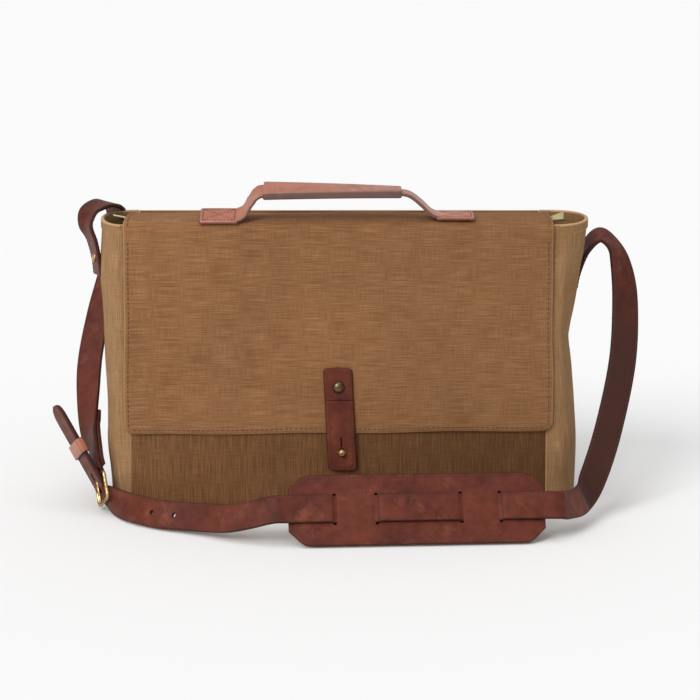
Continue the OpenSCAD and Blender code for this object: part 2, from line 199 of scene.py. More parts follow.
def add_sheet(name, middle, wall, material, body, push=None):
    """A sheet as a piece; push is the direction of its thickness where that isn't its own normal."""
    points, faces, uv, rim = sheet_arrays(middle, wall, push)
    return add_piece(name, points, faces, material, body, uv, rim)


def grid(u0, u1, nu, v0, v1, nv):
    """Two parameters on a regular grid."""
    return np.meshgrid(np.linspace(u0, u1, nu), np.linspace(v0, v1, nv), indexing="ij")


# %% [markdown]
# ## Bands
# A strap is a rounded rectangle carried along a route. Each row of a route is a point and the direction
# in which the strap is wide there. A Catmull-Rom curve runs through the rows, and the profile is placed
# across it.


# %% A leather band along a route
def smooth_route(rows, steps):
    """Catmull-Rom between the rows: 0.5 * (2b + (c-a)t + (2a-5b+4c-d)t^2 + (3b-a-3c+d)t^3)."""
    rows = np.asarray(rows, float)
    n = len(rows)
    i = np.repeat(np.arange(n - 1), steps)
    t = np.tile(np.arange(steps) / steps, n - 1)[:, None]
    a, b, c, d = rows[np.maximum(i - 1, 0)], rows[i], rows[i + 1], rows[np.minimum(i + 2, n - 1)]
    out = 0.5 * (2 * b + (c - a) * t + (2 * a - 5 * b + 4 * c - d) * t**2 + (3 * b - a - 3 * c + d) * t**3)
    return np.concatenate([out, rows[-1:]])


def route_frame(rows, steps):
    """Points of the centre line, its directions along, across and out of the face, and the length so far."""
    r = smooth_route(rows, steps)
    centre = r[:, :3]
    along = unit(np.gradient(centre, axis=0))
    side = unit(r[:, 3:] - along * (r[:, 3:] * along).sum(-1, keepdims=True))
    face = np.cross(along, side)
    run = np.concatenate([[0], np.cumsum(np.linalg.norm(np.diff(centre, axis=0), axis=-1))])
    return centre, along, side, face, run


def band_profile(w, t, corner=1.1):
    """A rounded rectangle, w wide and t thick."""
    half_w, half_t = w / 2 - corner, t / 2 - corner
    turn = np.radians(np.linspace(0, 90, 4 if corner < 2 else 7))
    out = []
    for start, sx, sy in ((0, 1, 1), (90, -1, 1), (180, -1, -1), (270, 1, -1)):
        a = turn + math.radians(start)
        out.append(np.stack([sx * half_w + corner * np.cos(a), sy * max(half_t, 0) + corner * np.sin(a)], -1))
    top = np.stack([np.linspace(half_w, -half_w, 7)[1:-1], np.full(5, t / 2)], -1)
    low = np.stack([np.linspace(-half_w, half_w, 7)[1:-1], np.full(5, -t / 2)], -1)
    return np.concatenate([out[0], top, out[1], out[2], low, out[3]])


def add_band(name, rows, w, t, material, body, steps=6, width=None, thick=None, corner=1.1, rough_shaded_side=None):
    """width and thick scale the section along the length; rough_shaded_side is the share of the inner side
    turned outwards, which is rougher and painted dark as shade.
    """
    centre, along, side, face, run = route_frame(rows, steps)
    profile = band_profile(w, t, min(corner, t * 0.45))
    wide = np.ones(len(run)) if width is None else width(run)
    deep = np.ones(len(run)) if thick is None else thick(run)
    points = (centre[:, None] + side[:, None] * profile[None, :, 0, None] * wide[:, None, None]
              + face[:, None] * profile[None, :, 1, None] * deep[:, None, None])
    n, m = points.shape[:2]
    faces = [*quads(n, m, wrap=True).tolist(), list(range(m))[::-1], [(n - 1) * m + k for k in range(m)]]
    uv = np.stack(np.broadcast_arrays(profile[None, :, 0] + w / 2, run[:, None]), -1).reshape(-1, 2)
    rim = np.broadcast_to((w / 2 - np.abs(profile[:, 0]))[None], (n, m)) * MM
    front = np.broadcast_to(profile[None, :, 1] > 0, (n, m))
    flesh_and_shade = None
    if rough_shaded_side is not None:
        share = rough_shaded_side(run)[:, None]
        flesh_and_shade = np.where(front, share, 1 - share)
    return add_piece(name, points.reshape(-1, 3), faces, material, body, uv, rim, flesh_and_shade)


# %% [markdown]
# ## Stitches
# A painted dashed line looks flat in a close view, so each stitch is a short thread of its own: a
# six-sided bead that sits half sunk in the leather. All the stitches of a seam are copies of one bead,
# placed with one array product and joined in one mesh.


# %% Stitches along a line
THREAD_SIDES = 6
bead_turn = np.arange(THREAD_SIDES) * 2 * np.pi / THREAD_SIDES
bead_x = np.repeat([-1.0, -0.72, 0.72, 1.0], THREAD_SIDES)
bead_r = np.repeat([0.4, 1.0, 1.0, 0.4], THREAD_SIDES)
bead_faces = [*quads(4, THREAD_SIDES, wrap=True).tolist()]
bead_caps = [list(range(THREAD_SIDES))[::-1], [3 * THREAD_SIDES + k for k in range(THREAD_SIDES)]]


def dense(path, count):
    """A polyline with count points on each of its straight parts."""
    share = np.linspace(0, 1, count)[:, None]
    return np.concatenate([a + (b - a) * share for a, b in zip(path[:-1], path[1:])])


def stitch_line(line, normal, pitch=3.4, thread=0.42, sink=0.0):
    """Beads spaced pitch apart along a polyline, each 0.68 of the pitch long, lying on the surface."""
    line, normal = np.asarray(line, float), np.broadcast_to(np.asarray(normal, float), np.shape(line))
    run = np.concatenate([[0], np.cumsum(np.linalg.norm(np.diff(line, axis=0), axis=-1))])
    at = np.arange(pitch / 2, run[-1], pitch)
    centre = np.stack([np.interp(at, run, line[:, k]) for k in range(3)], -1)
    ahead = np.stack([np.interp(at + 0.6, run, line[:, k]) for k in range(3)], -1)
    behind = np.stack([np.interp(at - 0.6, run, line[:, k]) for k in range(3)], -1)
    up = unit(np.stack([np.interp(at, run, normal[:, k]) for k in range(3)], -1))
    along = unit(ahead - behind)
    side = np.cross(up, along)
    shift = (np.cos(bead_turn), np.sin(bead_turn))
    a = (bead_x * pitch * 0.34)[None, :, None] * along[:, None]
    b = (bead_r * np.tile(shift[0], 4) * thread)[None, :, None] * side[:, None]
    c = (bead_r * np.tile(shift[1], 4) * thread * 0.8 - sink)[None, :, None] * up[:, None]
    return centre[:, None] + a + b + c


def add_stitches(name, lines, material, body):
    """Joins the beads of several lines in one mesh."""
    beads = np.concatenate(lines)
    size = beads.shape[1]
    faces = []
    for k in range(len(beads)):
        faces += [[i + k * size for i in f] for f in bead_faces + bead_caps]
    return add_piece(name, beads.reshape(-1, 3), faces, material, body)


# %% [markdown]
# ## Turned brass
# Rivets, the ball stud and washers are lathe work: a profile of radius against height, turned about an
# axis.


# %% A profile turned about an axis
def add_turned(name, profile, origin, axis, material, body, sides=40):
    """Each profile row is radius and height; the ends close on the axis with radius 0."""
    axis = unit(np.asarray(axis, float))
    helper = np.array([1.0, 0, 0]) if abs(axis[0]) < 0.9 else np.array([0, 1.0, 0])
    x = unit(np.cross(helper, axis))
    y = np.cross(axis, x)
    turn = np.arange(sides) * 2 * np.pi / sides
    profile = np.asarray(profile, float)
    ring = x[None] * np.cos(turn)[:, None] + y[None] * np.sin(turn)[:, None]
    body_rows = profile[1:-1]
    points = (np.asarray(origin, float) + ring[None] * body_rows[:, 0][:, None, None]
              + axis * body_rows[:, 1][:, None, None]).reshape(-1, 3)
    n = len(body_rows)
    low, high = len(points), len(points) + 1
    points = np.concatenate([points, [origin + axis * profile[0, 1], origin + axis * profile[-1, 1]]])
    faces = quads(n, sides, wrap=True).tolist()
    faces += [[low, (k + 1) % sides, k] for k in range(sides)]
    faces += [[high, (n - 1) * sides + k, (n - 1) * sides + (k + 1) % sides] for k in range(sides)]
    return add_piece(name, points, faces, material, body)


# %% [markdown]
# ## Finishes
# Each effect that more than one finish needs is a node group: the weave, the mottling of wax, the grain
# of leather and the wear along a cut edge. A group puts out only heights and masks; the Principled BSDF,
# and every value that is the same all over, stays in the material itself.


# %% Small tools for node graphs
class Graph:
    """Wires one node tree, with each node placed a column to the right of the last."""

    def __init__(self, tree):
        self.tree = tree
        self.column = 0

    def node(self, kind, **settings):
        n = self.tree.nodes.new(kind)
        n.location = (self.column * 190, -(self.column % 3) * 140)
        self.column += 1
        for key, value in settings.items():
            if key.startswith("in_"):
                n.inputs[int(key[3:])].default_value = value
            else:
                setattr(n, key, value)
        return n

    def link(self, a, b):
        self.tree.links.new(a, b)

    def math(self, operation, a, b=None, clamp=False):
        n = self.node("ShaderNodeMath", operation=operation, use_clamp=clamp)
        for socket, value in zip(n.inputs, (a, b)):
            if isinstance(value, (int, float)):
                socket.default_value = value
            elif value is not None:
                self.link(value, socket)
        return n.outputs[0]

    def mix(self, factor, a, b, blend="MIX"):
        n = self.node("ShaderNodeMix", data_type="RGBA", blend_type=blend)
        for socket, value in zip((n.inputs[0], n.inputs[6], n.inputs[7]), (factor, a, b)):
            if hasattr(value, "is_output"):
                self.link(value, socket)
            elif isinstance(value, (int, float)):
                socket.default_value = value
            else:
                socket.default_value = (*value, 1.0)
        return n.outputs[2]

    def noise(self, vector, scale, detail=4.0, roughness=0.55):
        n = self.node("ShaderNodeTexNoise")
        n.inputs["Scale"].default_value = scale
        n.inputs["Detail"].default_value = detail
        n.inputs["Roughness"].default_value = roughness
        self.link(vector, n.inputs["Vector"])
        return n.outputs["Fac"]

    def stretch(self, vector, x, y, z=1.0):
        n = self.node("ShaderNodeMapping")
        n.inputs["Scale"].default_value = (x, y, z)
        self.link(vector, n.inputs["Vector"])
        return n.outputs["Vector"]

    def spread(self, value, low, high, to_low=0.0, to_high=1.0):
        n = self.node("ShaderNodeMapRange")
        for key, number in (("From Min", low), ("From Max", high), ("To Min", to_low), ("To Max", to_high)):
            n.inputs[key].default_value = number
        self.link(value, n.inputs["Value"])
        return n.outputs["Result"]


def new_group(name, inputs, outputs):
    """An empty group with named float or vector inputs and outputs."""
    tree = bpy.data.node_groups.new(name, "ShaderNodeTree")
    for label, kind, value in inputs:
        s = tree.interface.new_socket(label, in_out="INPUT", socket_type=kind)
        if value is not None:
            s.default_value = value
    for label in outputs:
        tree.interface.new_socket(label, in_out="OUTPUT", socket_type="NodeSocketFloat")
    g = Graph(tree)
    return tree, g, g.node("NodeGroupInput"), g.node("NodeGroupOutput")


# %% [markdown]
# Waxed canvas is a plain weave of uneven yarns. Two waves at right angles give the yarns, and noise drawn
# out along one direction gives the slubs, the thick stretches of yarn that show as fine ribs.

# %% The weave group
weave, g, g_in, g_out = new_group(
    "Canvas weave", [("Cloth", "NodeSocketVector", None)], ["Height", "Ribs"])
across = g.stretch(g_in.outputs["Cloth"], 40.0, 1500.0)
along_rib = g.stretch(g_in.outputs["Cloth"], 1500.0, 60.0)
ribs = g.noise(across, 1.0, 3.0, 0.6)
cross_ribs = g.noise(along_rib, 1.0, 2.0, 0.5)
wave_a = g.node("ShaderNodeTexWave", wave_type="BANDS", bands_direction="X")
wave_b = g.node("ShaderNodeTexWave", wave_type="BANDS", bands_direction="Y")
for wave in (wave_a, wave_b):
    wave.inputs["Scale"].default_value = 260.0
    wave.inputs["Distortion"].default_value = 0.6
    g.link(g_in.outputs["Cloth"], wave.inputs["Vector"])
yarns = g.math("MAXIMUM", wave_a.outputs["Fac"], wave_b.outputs["Fac"])
height = g.math("ADD", g.math("MULTIPLY", yarns, 0.45), g.math("MULTIPLY", ribs, 1.1))
g.link(g.math("ADD", height, g.math("MULTIPLY", cross_ribs, 0.35)), g_out.inputs["Height"])
ribbing = g.math("ADD", g.math("MULTIPLY", ribs, 0.75), g.math("MULTIPLY", cross_ribs, 0.25))
g.link(ribbing, g_out.inputs["Ribs"])
print("weave nodes:", len(weave.nodes))

# %% [markdown]
# Wax never lies evenly: it darkens in clouds the size of a hand, and handling rubs it pale in smaller
# ones.

# %% The cloud group
clouds, g, g_in, g_out = new_group(
    "Wax clouds", [("Place", "NodeSocketVector", None)], ["Broad", "Fine"])
g.link(g.spread(g.noise(g_in.outputs["Place"], 9.0, 5.0, 0.6), 0.32, 0.68), g_out.inputs["Broad"])
g.link(g.spread(g.noise(g_in.outputs["Place"], 42.0, 4.0, 0.6), 0.3, 0.7), g_out.inputs["Fine"])

# %% [markdown]
# A cut or folded edge shows first in a worn piece. The rim attribute holds each point's distance to the
# edge, so one smooth step over it gives a line of even width however the piece is bent.

# %% The edge group
edges, g, g_in, g_out = new_group(
    "Edge line", [("Rim", "NodeSocketFloat", 0.0), ("Width", "NodeSocketFloat", 0.0015)], ["Mask"])
ratio = g.math("DIVIDE", g_in.outputs["Rim"], g_in.outputs["Width"])
g.link(g.math("SUBTRACT", 1.0, ratio, clamp=True), g_out.inputs["Mask"])

# %% [markdown]
# Full grain leather is a net of fine pores and creases. A Voronoi texture's distance to the cell edges
# gives the creases, and two noises give the pores and the slow changes of colour that oil and hands
# leave.

# %% The grain group
grain, g, g_in, g_out = new_group(
    "Leather grain", [("Place", "NodeSocketVector", None)], ["Height", "Tone"])
cells = g.node("ShaderNodeTexVoronoi", feature="DISTANCE_TO_EDGE")
cells.inputs["Scale"].default_value = 620.0
g.link(g_in.outputs["Place"], cells.inputs["Vector"])
creases = g.spread(cells.outputs["Distance"], 0.0, 0.18)
pores = g.noise(g_in.outputs["Place"], 1400.0, 3.0)
relief = g.math("ADD", g.math("MULTIPLY", creases, 0.6), g.math("MULTIPLY", pores, 0.5))
g.link(relief, g_out.inputs["Height"])
tone = g.math("ADD", g.math("MULTIPLY", g.noise(g_in.outputs["Place"], 26.0, 5.0), 0.6),
              g.math("MULTIPLY", g.noise(g_in.outputs["Place"], 130.0, 4.0), 0.4))
g.link(g.spread(tone, 0.36, 0.64), g_out.inputs["Tone"])


# %% [markdown]
# ## The materials
# A material starts from a Principled BSDF with its constants set on the sockets. Its colour is mixed from
# the groups' masks.


# %% Start a material
def new_material(name, **constants):
    material = bpy.data.materials.new(name)
    material.use_nodes = True
    g = Graph(material.node_tree)
    shader = material.node_tree.nodes["Principled BSDF"]
    for key, value in constants.items():
        shader.inputs[key.replace("_", " ")].default_value = value
    return material, g, shader


def use_group(g, tree, **links):
    n = g.node("ShaderNodeGroup", node_tree=tree)
    for key, value in links.items():
        if hasattr(value, "is_output"):
            g.link(value, n.inputs[key])
        else:
            n.inputs[key].default_value = value
    return n


def add_bump(g, shader, height, distance, strength=1.0):
    n = g.node("ShaderNodeBump")
    n.inputs["Distance"].default_value = distance
    n.inputs["Strength"].default_value = strength
    g.link(height, n.inputs["Height"])
    g.link(n.outputs["Normal"], shader.inputs["Normal"])


def attribute(g, name):
    return g.node("ShaderNodeAttribute", attribute_name=name).outputs["Fac"]


# %% Canvas
# Painted shade: the span of object x, in metres, over which each canvas piece darkens from left to right.
SHADE_FROM_TO = (-0.16, 0.20)


def canvas(name, base, dark, pale, turned=False, edge=0.0016, bump=0.00035, right_shade=0.0):
    """Waxed canvas: darker in its waxier clouds and between ribs, paler where rubbed and at the hem.

    right_shade is the share of painted shade at the cloth's right-hand end: the colour darkens from left to
    right, standing in for the shade away from the key light on the left.
    """
    material, g, shader = new_material(name, Roughness=0.85, Specular_IOR_Level=0.08)
    place = g.node("ShaderNodeTexCoord")
    cloth = g.node("ShaderNodeMapping")
    cloth.inputs["Rotation"].default_value = (0, 0, math.radians(90 if turned else 0))
    g.link(place.outputs["UV"], cloth.inputs["Vector"])
    w = use_group(g, weave, Cloth=cloth.outputs["Vector"])
    c = use_group(g, clouds, Place=place.outputs["Object"])
    e = use_group(g, edges, Rim=attribute(g, "rim"), Width=edge)
    colour = g.mix(g.math("MULTIPLY", c.outputs["Broad"], 0.75), base, dark)
    colour = g.mix(g.math("MULTIPLY", c.outputs["Fine"], 0.30), colour, pale)
    ribs = g.spread(w.outputs["Ribs"], 0.42, 0.60)
    colour = g.mix(g.math("MULTIPLY", ribs, 0.42), colour, pale)
    colour = g.mix(g.math("MULTIPLY", g.math("SUBTRACT", 1.0, ribs), 0.50), colour, dark)
    # Painted shade: the colour darkens from left to right across each canvas piece, standing in for the shade
    # away from the key light on the left.
    shade_position = g.node("ShaderNodeSeparateXYZ")
    g.link(place.outputs["Object"], shade_position.inputs["Vector"])
    painted_shade, worn = tuple(c * 0.5 for c in dark), tuple(c * 1.25 for c in pale)
    colour = g.mix(g.spread(shade_position.outputs["X"], *SHADE_FROM_TO, 0.0, right_shade), colour, painted_shade)
    colour = g.mix(g.math("MULTIPLY", e.outputs["Mask"], 0.8), colour, worn)
    g.link(colour, shader.inputs["Base Color"])
    g.link(g.spread(c.outputs["Broad"], 0.0, 1.0, 0.86, 0.68), shader.inputs["Roughness"])
    add_bump(g, shader, w.outputs["Height"], bump)
    return material


CANVAS = canvas("flap_canvas", (0.265, 0.122, 0.050), (0.155, 0.066, 0.024), (0.40, 0.215, 0.105), right_shade=0.22)
# Painted shade: the front panel and the base use a darker copy of the flap canvas, standing in for the shade
# under the flap and under the bag.
CANVAS_FRONT_SHADED = canvas("front_canvas_shaded", (0.180, 0.080, 0.031), (0.085, 0.034, 0.013), (0.30, 0.15, 0.068),
                      turned=True, right_shade=0.5)
# Painted light: the gussets, back, hems and hinge strip use a lighter copy of the flap canvas, standing in
# for the key light on the sides.
CANVAS_SIDE_LIT = canvas("side_canvas_lit", (0.325, 0.182, 0.082), (0.21, 0.105, 0.044), (0.45, 0.285, 0.15),
                     turned=True, right_shade=0.22)
TAPE = canvas("zip_tape", (0.40, 0.36, 0.17), (0.26, 0.22, 0.09), (0.56, 0.50, 0.30),
              edge=0.0008, bump=0.0002)
LINING = canvas("cotton_lining", (0.36, 0.30, 0.17), (0.26, 0.21, 0.11), (0.46, 0.40, 0.26), bump=0.0002)


# %% Leather
def leather(name, base, dark, pale, roughness=0.42, edge=0.0011, shine=0.14):
    """Oiled leather: clouded between base and dark, dark on cut edges; on its inner side rougher, and painted
    near black as shade.
    """
    material, g, shader = new_material(name, Specular_IOR_Level=shine)
    place = g.node("ShaderNodeTexCoord")
    n = use_group(g, grain, Place=place.outputs["Object"])
    e = use_group(g, edges, Rim=attribute(g, "rim"), Width=edge)
    flesh_and_shade = attribute(g, "flesh_and_shade")
    colour = g.mix(n.outputs["Tone"], dark, base)
    worn = g.noise(place.outputs["Object"], 60.0, 5.0, 0.65)
    colour = g.mix(g.spread(worn, 0.56, 0.72, 0.0, 0.5), colour, pale)
    colour = g.mix(g.math("MULTIPLY", e.outputs["Mask"], 0.8), colour, (0.030, 0.011, 0.008))
    # Painted shade: where the strap's rougher inner side faces out, its colour goes near black, standing in
    # for the shade on that side.
    colour = g.mix(g.math("MULTIPLY", flesh_and_shade, 0.9), colour, (0.040, 0.0145, 0.0105))
    g.link(colour, shader.inputs["Base Color"])
    rough = g.spread(n.outputs["Tone"], 0.0, 1.0, roughness + 0.08, roughness - 0.04)
    g.link(g.math("ADD", rough, g.math("MULTIPLY", flesh_and_shade, 0.2), clamp=True), shader.inputs["Roughness"])
    add_bump(g, shader, n.outputs["Height"], 0.00012, 0.8)
    return material


LEATHER = leather("strap_leather", (0.138, 0.030, 0.0155), (0.066, 0.0135, 0.0075), (0.225, 0.068, 0.038))
TAN = leather("handle_leather", (0.40, 0.105, 0.040), (0.26, 0.060, 0.022), (0.54, 0.27, 0.17),
              roughness=0.30, shine=1.0)


# %% Brass, thread and holes
def brass(name, bright, tarnish, roughness):
    """Aged brass: bright where it is rubbed, brown in the clouds of tarnish."""
    material, g, shader = new_material(name, Metallic=1.0)
    place = g.node("ShaderNodeTexCoord")
    cloud = g.spread(g.noise(place.outputs["Object"], 240.0, 5.0, 0.6), 0.38, 0.62)
    g.link(g.mix(cloud, bright, tarnish), shader.inputs["Base Color"])
    g.link(g.spread(cloud, 0.0, 1.0, roughness - 0.06, roughness + 0.12), shader.inputs["Roughness"])
    add_bump(g, shader, g.noise(place.outputs["Object"], 900.0, 3.0), 0.00004)
    return material


def thread(name, colour, shade):
    """Waxed thread: a twisted look from bands across its place."""
    material, g, shader = new_material(name, Roughness=0.6)
    place = g.node("ShaderNodeTexCoord")
    twist = g.noise(place.outputs["Object"], 1800.0, 2.0)
    g.link(g.mix(g.spread(twist, 0.35, 0.65), colour, shade), shader.inputs["Base Color"])
    add_bump(g, shader, twist, 0.00008)
    return material


BRASS = brass("aged_brass", (0.62, 0.45, 0.20), (0.30, 0.19, 0.075), 0.30)
DARK_BRASS = brass("antique_brass", (0.17, 0.115, 0.06), (0.06, 0.038, 0.022), 0.34)
THREAD_DARK = thread("dark_thread", (0.050, 0.022, 0.014), (0.028, 0.012, 0.008))
THREAD_RED = thread("red_brown_thread", (0.070, 0.022, 0.015), (0.040, 0.013, 0.009))
THREAD_TAN = thread("tan_thread", (0.115, 0.050, 0.022), (0.065, 0.028, 0.012))
print("materials:", len(bpy.data.materials))

# %% [markdown]
# ## Camera, floor and light
# The bag stands on a wide pale floor in even studio light. A wide, soft sun from the upper left models
# the folds, and the pale world fills the shadows. The camera looks slightly down from the height of a
# seated viewer.

# %% Camera
camera_data = bpy.data.cameras.new("camera")
camera_data.lens = 95.7
camera_data.sensor_width = 36.0
camera_data.clip_end = 100.0
camera = bpy.data.objects.new("camera", camera_data)
camera.location = (0.010, -1.592, 0.460)
camera.rotation_euler = (math.radians(90 - 11.6), 0, 0)
bpy.context.collection.objects.link(camera)
bpy.context.scene.camera = camera

# %% Floor and light
FLOOR_HALF = 40.0
floor_mesh = bpy.data.meshes.new("floor")
floor_mesh.from_pydata([(-FLOOR_HALF, -FLOOR_HALF, 0), (FLOOR_HALF, -FLOOR_HALF, 0),
                        (FLOOR_HALF, FLOOR_HALF, 0), (-FLOOR_HALF, FLOOR_HALF, 0)], [], [(0, 1, 2, 3)])
floor = bpy.data.objects.new("floor", floor_mesh)
floor_material, g, shader = new_material("studio_floor", Roughness=0.9, Specular_IOR_Level=0.1)
shader.inputs["Base Color"].default_value = (0.835, 0.835, 0.835, 1)
floor_mesh.materials.append(floor_material)
bpy.context.collection.objects.link(floor)

world = bpy.data.worlds.new("studio")
world.use_nodes = True
world.node_tree.nodes["Background"].inputs["Color"].default_value = (1.0, 1.0, 1.0, 1)
world.node_tree.nodes["Background"].inputs["Strength"].default_value = 0.668
bpy.context.scene.world = world


def add_sun(name, strength, angle, turn):
    """A sun whose wide angle makes its shadows soft, turned by x, y and z in degrees."""
    light = bpy.data.lights.new(name, "SUN")
    light.energy = strength
    light.angle = math.radians(angle)
    lamp = bpy.data.objects.new(name, light)
    lamp.rotation_euler = tuple(math.radians(a) for a in turn)
    bpy.context.collection.objects.link(lamp)


add_sun("key", 1.75, 32, (40, -38, 0))
add_sun("top", 0.5, 50, (6, -4, 0))
bpy.context.scene.view_settings.view_transform = "Standard"

# %% [markdown]
# ## Front, back and base
# The body panels are sewn flat and then pushed out of flat by what they hold. Each is a sheet over width
# and height, with a lean, a low swell and a few slow waves. The foot of the front panel rolls under to
# the base.


# %% Front and back panels
def soft(u, v, seed=0.0):
    """Slow uneven waves between -1 and 1: a sum of three sines whose directions and lengths don't match."""
    return (np.sin(u * 0.021 + v * 0.011 + seed) + 0.6 * np.sin(u * 0.043 - v * 0.027 + 2 * seed)
            + 0.5 * np.sin(u * 0.013 + v * 0.052 + 3 * seed)) / 2.1


PANEL_LOW = 3.0
x, z = grid(-PANEL_HALF, PANEL_HALF, 181, PANEL_LOW, FRONT_RIM, 91)
to_seam = np.clip((np.abs(x) - PANEL_HALF + 9) / 9, 0, 1)
roll = 3.2 * np.exp(-((z - PANEL_LOW) / 5.0) ** 1.5) + 1.2 * to_seam ** 2.2
loose = np.exp(-((z - 45) / 34) ** 2)
y = front_y(z) + CANVAS_T / 2 + roll - 0.9 * loose * (0.4 + soft(x, z, 1.3)) * np.cos(x / PANEL_HALF * 1.3)
y = y + 0.5 * np.exp(-((x + 170 - 0.12 * z) / 5) ** 2) * loose
front = add_sheet("front_canvas_panel", np.stack([x, y, z], -1), CANVAS_T, CANVAS_FRONT_SHADED, "bag_body")
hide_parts("front_panel")

x, z = grid(PANEL_HALF, -PANEL_HALF, 101, PANEL_LOW, BACK_RIM, 71)
swell = 1.2 * np.cos(x / PANEL_HALF * 1.5) * np.sin(z / RIM_Z * 3.0)
y = BASE_HALF_D - CANVAS_T / 2 + swell * (1 + 0.5 * soft(x, z, 4.0))
back = add_sheet("back_canvas_panel", np.stack([x, y, z], -1), CANVAS_T, CANVAS_SIDE_LIT, "bag_body")
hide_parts("back_panel")
print("front and back panels:", len(front.data.polygons), len(back.data.polygons), "faces")

# %% [markdown]
# ## Gussets
# A gusset joins front and back and bulges out past their seams. A horizontal cut through it is half an
# oval: depth follows a cosine and reach follows a sine raised to 0.7, which squares the corners. The
# reach changes with height, so the side swells at the base and the rim and pulls in between.

# %% Gussets
# The reach of each side as rows of height and half width
LEFT_SIDE = np.array([[0, 198], [30, 200.5], [57, 203.5], [93, 203], [130, 205], [174, 206], [198, 208],
                      [249, 205]])
RIGHT_SIDE = np.array([[0, 208], [57, 209], [93, 207], [130, 203], [150, 199.5], [174, 204], [205, 210],
                       [228, 216], [249, 216]])
SEAM = 178.0
ARC_RADIUS = 33

# Folds as arc length from the front seam and height of both ends, then width and depth, in millimetres
GUSSET_FOLDS = {
    -1: [(8, 4, 24, 96, 4.5, -4.0), (16, 2, 30, 70, 4.0, 2.6), (10, 78, 38, 150, 5.0, -1.6),
         (30, 20, 52, 120, 6.0, -1.8)],
    1: [(5, 62, 40, 8, 4.5, -4.2), (4, 96, 30, 40, 4.5, 2.4), (10, 236, 26, 96, 5.0, -3.4),
        (22, 244, 44, 150, 5.5, 2.6), (34, 150, 20, 60, 5.0, -2.2), (48, 240, 60, 120, 6.0, -2.0)]}


def reach(side, z):
    """The outermost x at height z: the outline's points, rounded by averaging over 24 mm."""
    outline = LEFT_SIDE if side < 0 else RIGHT_SIDE
    offsets = np.linspace(-12, 12, 7)
    return np.mean([np.interp(np.asarray(z) + o, outline[:, 0], outline[:, 1]) for o in offsets], axis=0)


def gusset_surface(side, angle, z, out=0.0):
    """Half an oval about the middle of the depth, moved out by a few tenths."""
    near, far = front_y(z), BASE_HALF_D
    middle, half = (far + near) / 2, (far - near) / 2
    grow = reach(side, z) - SEAM + out
    x = side * (SEAM + grow * np.maximum(np.sin(angle), 0) ** 0.7)
    return np.stack([x, middle - (half - CANVAS_T / 2) * np.cos(angle), z + 0 * x], -1)


def rim_share(angle):
    """The rim of a gusset rises from the front panel's top to its own height at the back."""
    return 1 - (RIM_Z - FRONT_RIM) / RIM_Z * ((1 + np.cos(angle)) / 2) ** 2


def fold(u, v, u0, v0, u1, v1, width):
    """One at a line from (u0, v0) to (u1, v1), falling off across it and fading at its ends."""
    du, dv = u1 - u0, v1 - v0
    t = ((u - u0) * du + (v - v0) * dv) / (du**2 + dv**2)
    off = ((u - u0) * dv - (v - v0) * du) / math.hypot(du, dv)
    return np.exp(-((off / width) ** 2)) * np.clip(4 * t * (1 - t), 0, 1) ** 0.6


def gusset(side, name, node, seed):
    """A gusset over the oval's angle and height, with its folds and a shallow groove at the front seam."""
    angle, z = grid(math.radians(0.15), math.radians(179.85), 141, PANEL_LOW, RIM_Z, 121)
    arc = angle * ARC_RADIUS
    waves = 0.7 * soft(angle * 60, z * 1.6, seed)
    for u0, v0, u1, v1, width, depth in GUSSET_FOLDS[side]:
        waves = waves + depth * fold(arc, z, u0, v0, u1, v1, width)
    groove = 1.1 * np.exp(-((angle / 0.2) ** 2))
    height = z * np.where(z > PANEL_LOW + 1, rim_share(angle), 1)
    middle = gusset_surface(side, angle, height, waves * np.sin(angle) - CANVAS_T / 2)
    middle[..., 1] += groove + 0.8 * waves * np.cos(angle)
    if side > 0:
        middle = middle[::-1]
    piece = add_sheet(name, middle, CANVAS_T, CANVAS_SIDE_LIT, "bag_body")
    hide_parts(node)


gusset(-1, "left_canvas_gusset", "left_gusset", 0.7)
gusset(1, "right_canvas_gusset", "right_gusset", 2.9)
print("gusset reach at mid height:", round(float(reach(-1, 125)), 1), round(float(reach(1, 125)), 1))

# %% [markdown]
# The base is a stiffened oval of canvas. It is made from the same half ovals, so that it closes the body.
# Rings of the outline, each a little further in or higher, round its edge.

# %% Base
turn = np.linspace(0, np.pi, 41)
right_edge = gusset_surface(1, turn, np.zeros(41))
left_edge = gusset_surface(-1, turn[::-1], np.zeros(41))
outline = np.concatenate([right_edge, left_edge])[:, :2]
rings = []
for inset, height in ((8, 0.0), (1.2, 0.0), (0.2, 0.7), (0.0, 1.4), (0.4, 2.2), (1.5, 2.5), (8, 2.5)):
    shrink = 1 - inset / np.linalg.norm(outline, axis=-1, keepdims=True)
    rings.append(np.concatenate([outline * shrink, np.full((len(outline), 1), height)], -1))
rings = np.array(rings)
n, m = rings.shape[:2]
faces = [*quads(n, m, wrap=True).tolist(), list(range(m))[::-1], [(n - 1) * m + k for k in range(m)]]
uv = rings[..., :2].reshape(-1, 2)
base = add_piece("base_canvas_panel", rings.reshape(-1, 3), faces, CANVAS_FRONT_SHADED, "bag_body", uv,
                 rim=np.full(n * m, NO_RIM))
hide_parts("base_panel")

# %% [markdown]
# A folded and stitched hem runs round the rim of each gusset, as a band carried along the edge.

# %% Hems
def gusset_line(side, z, a0, a1, count, out):
    """A line round a gusset at height z, and the angles of its points."""
    angle = np.radians(np.linspace(a0, a1, count))
    line = gusset_surface(side, angle, z * rim_share(angle), out)
    return line + np.array([0, 0.5, 0]) * np.cos(angle)[:, None], angle


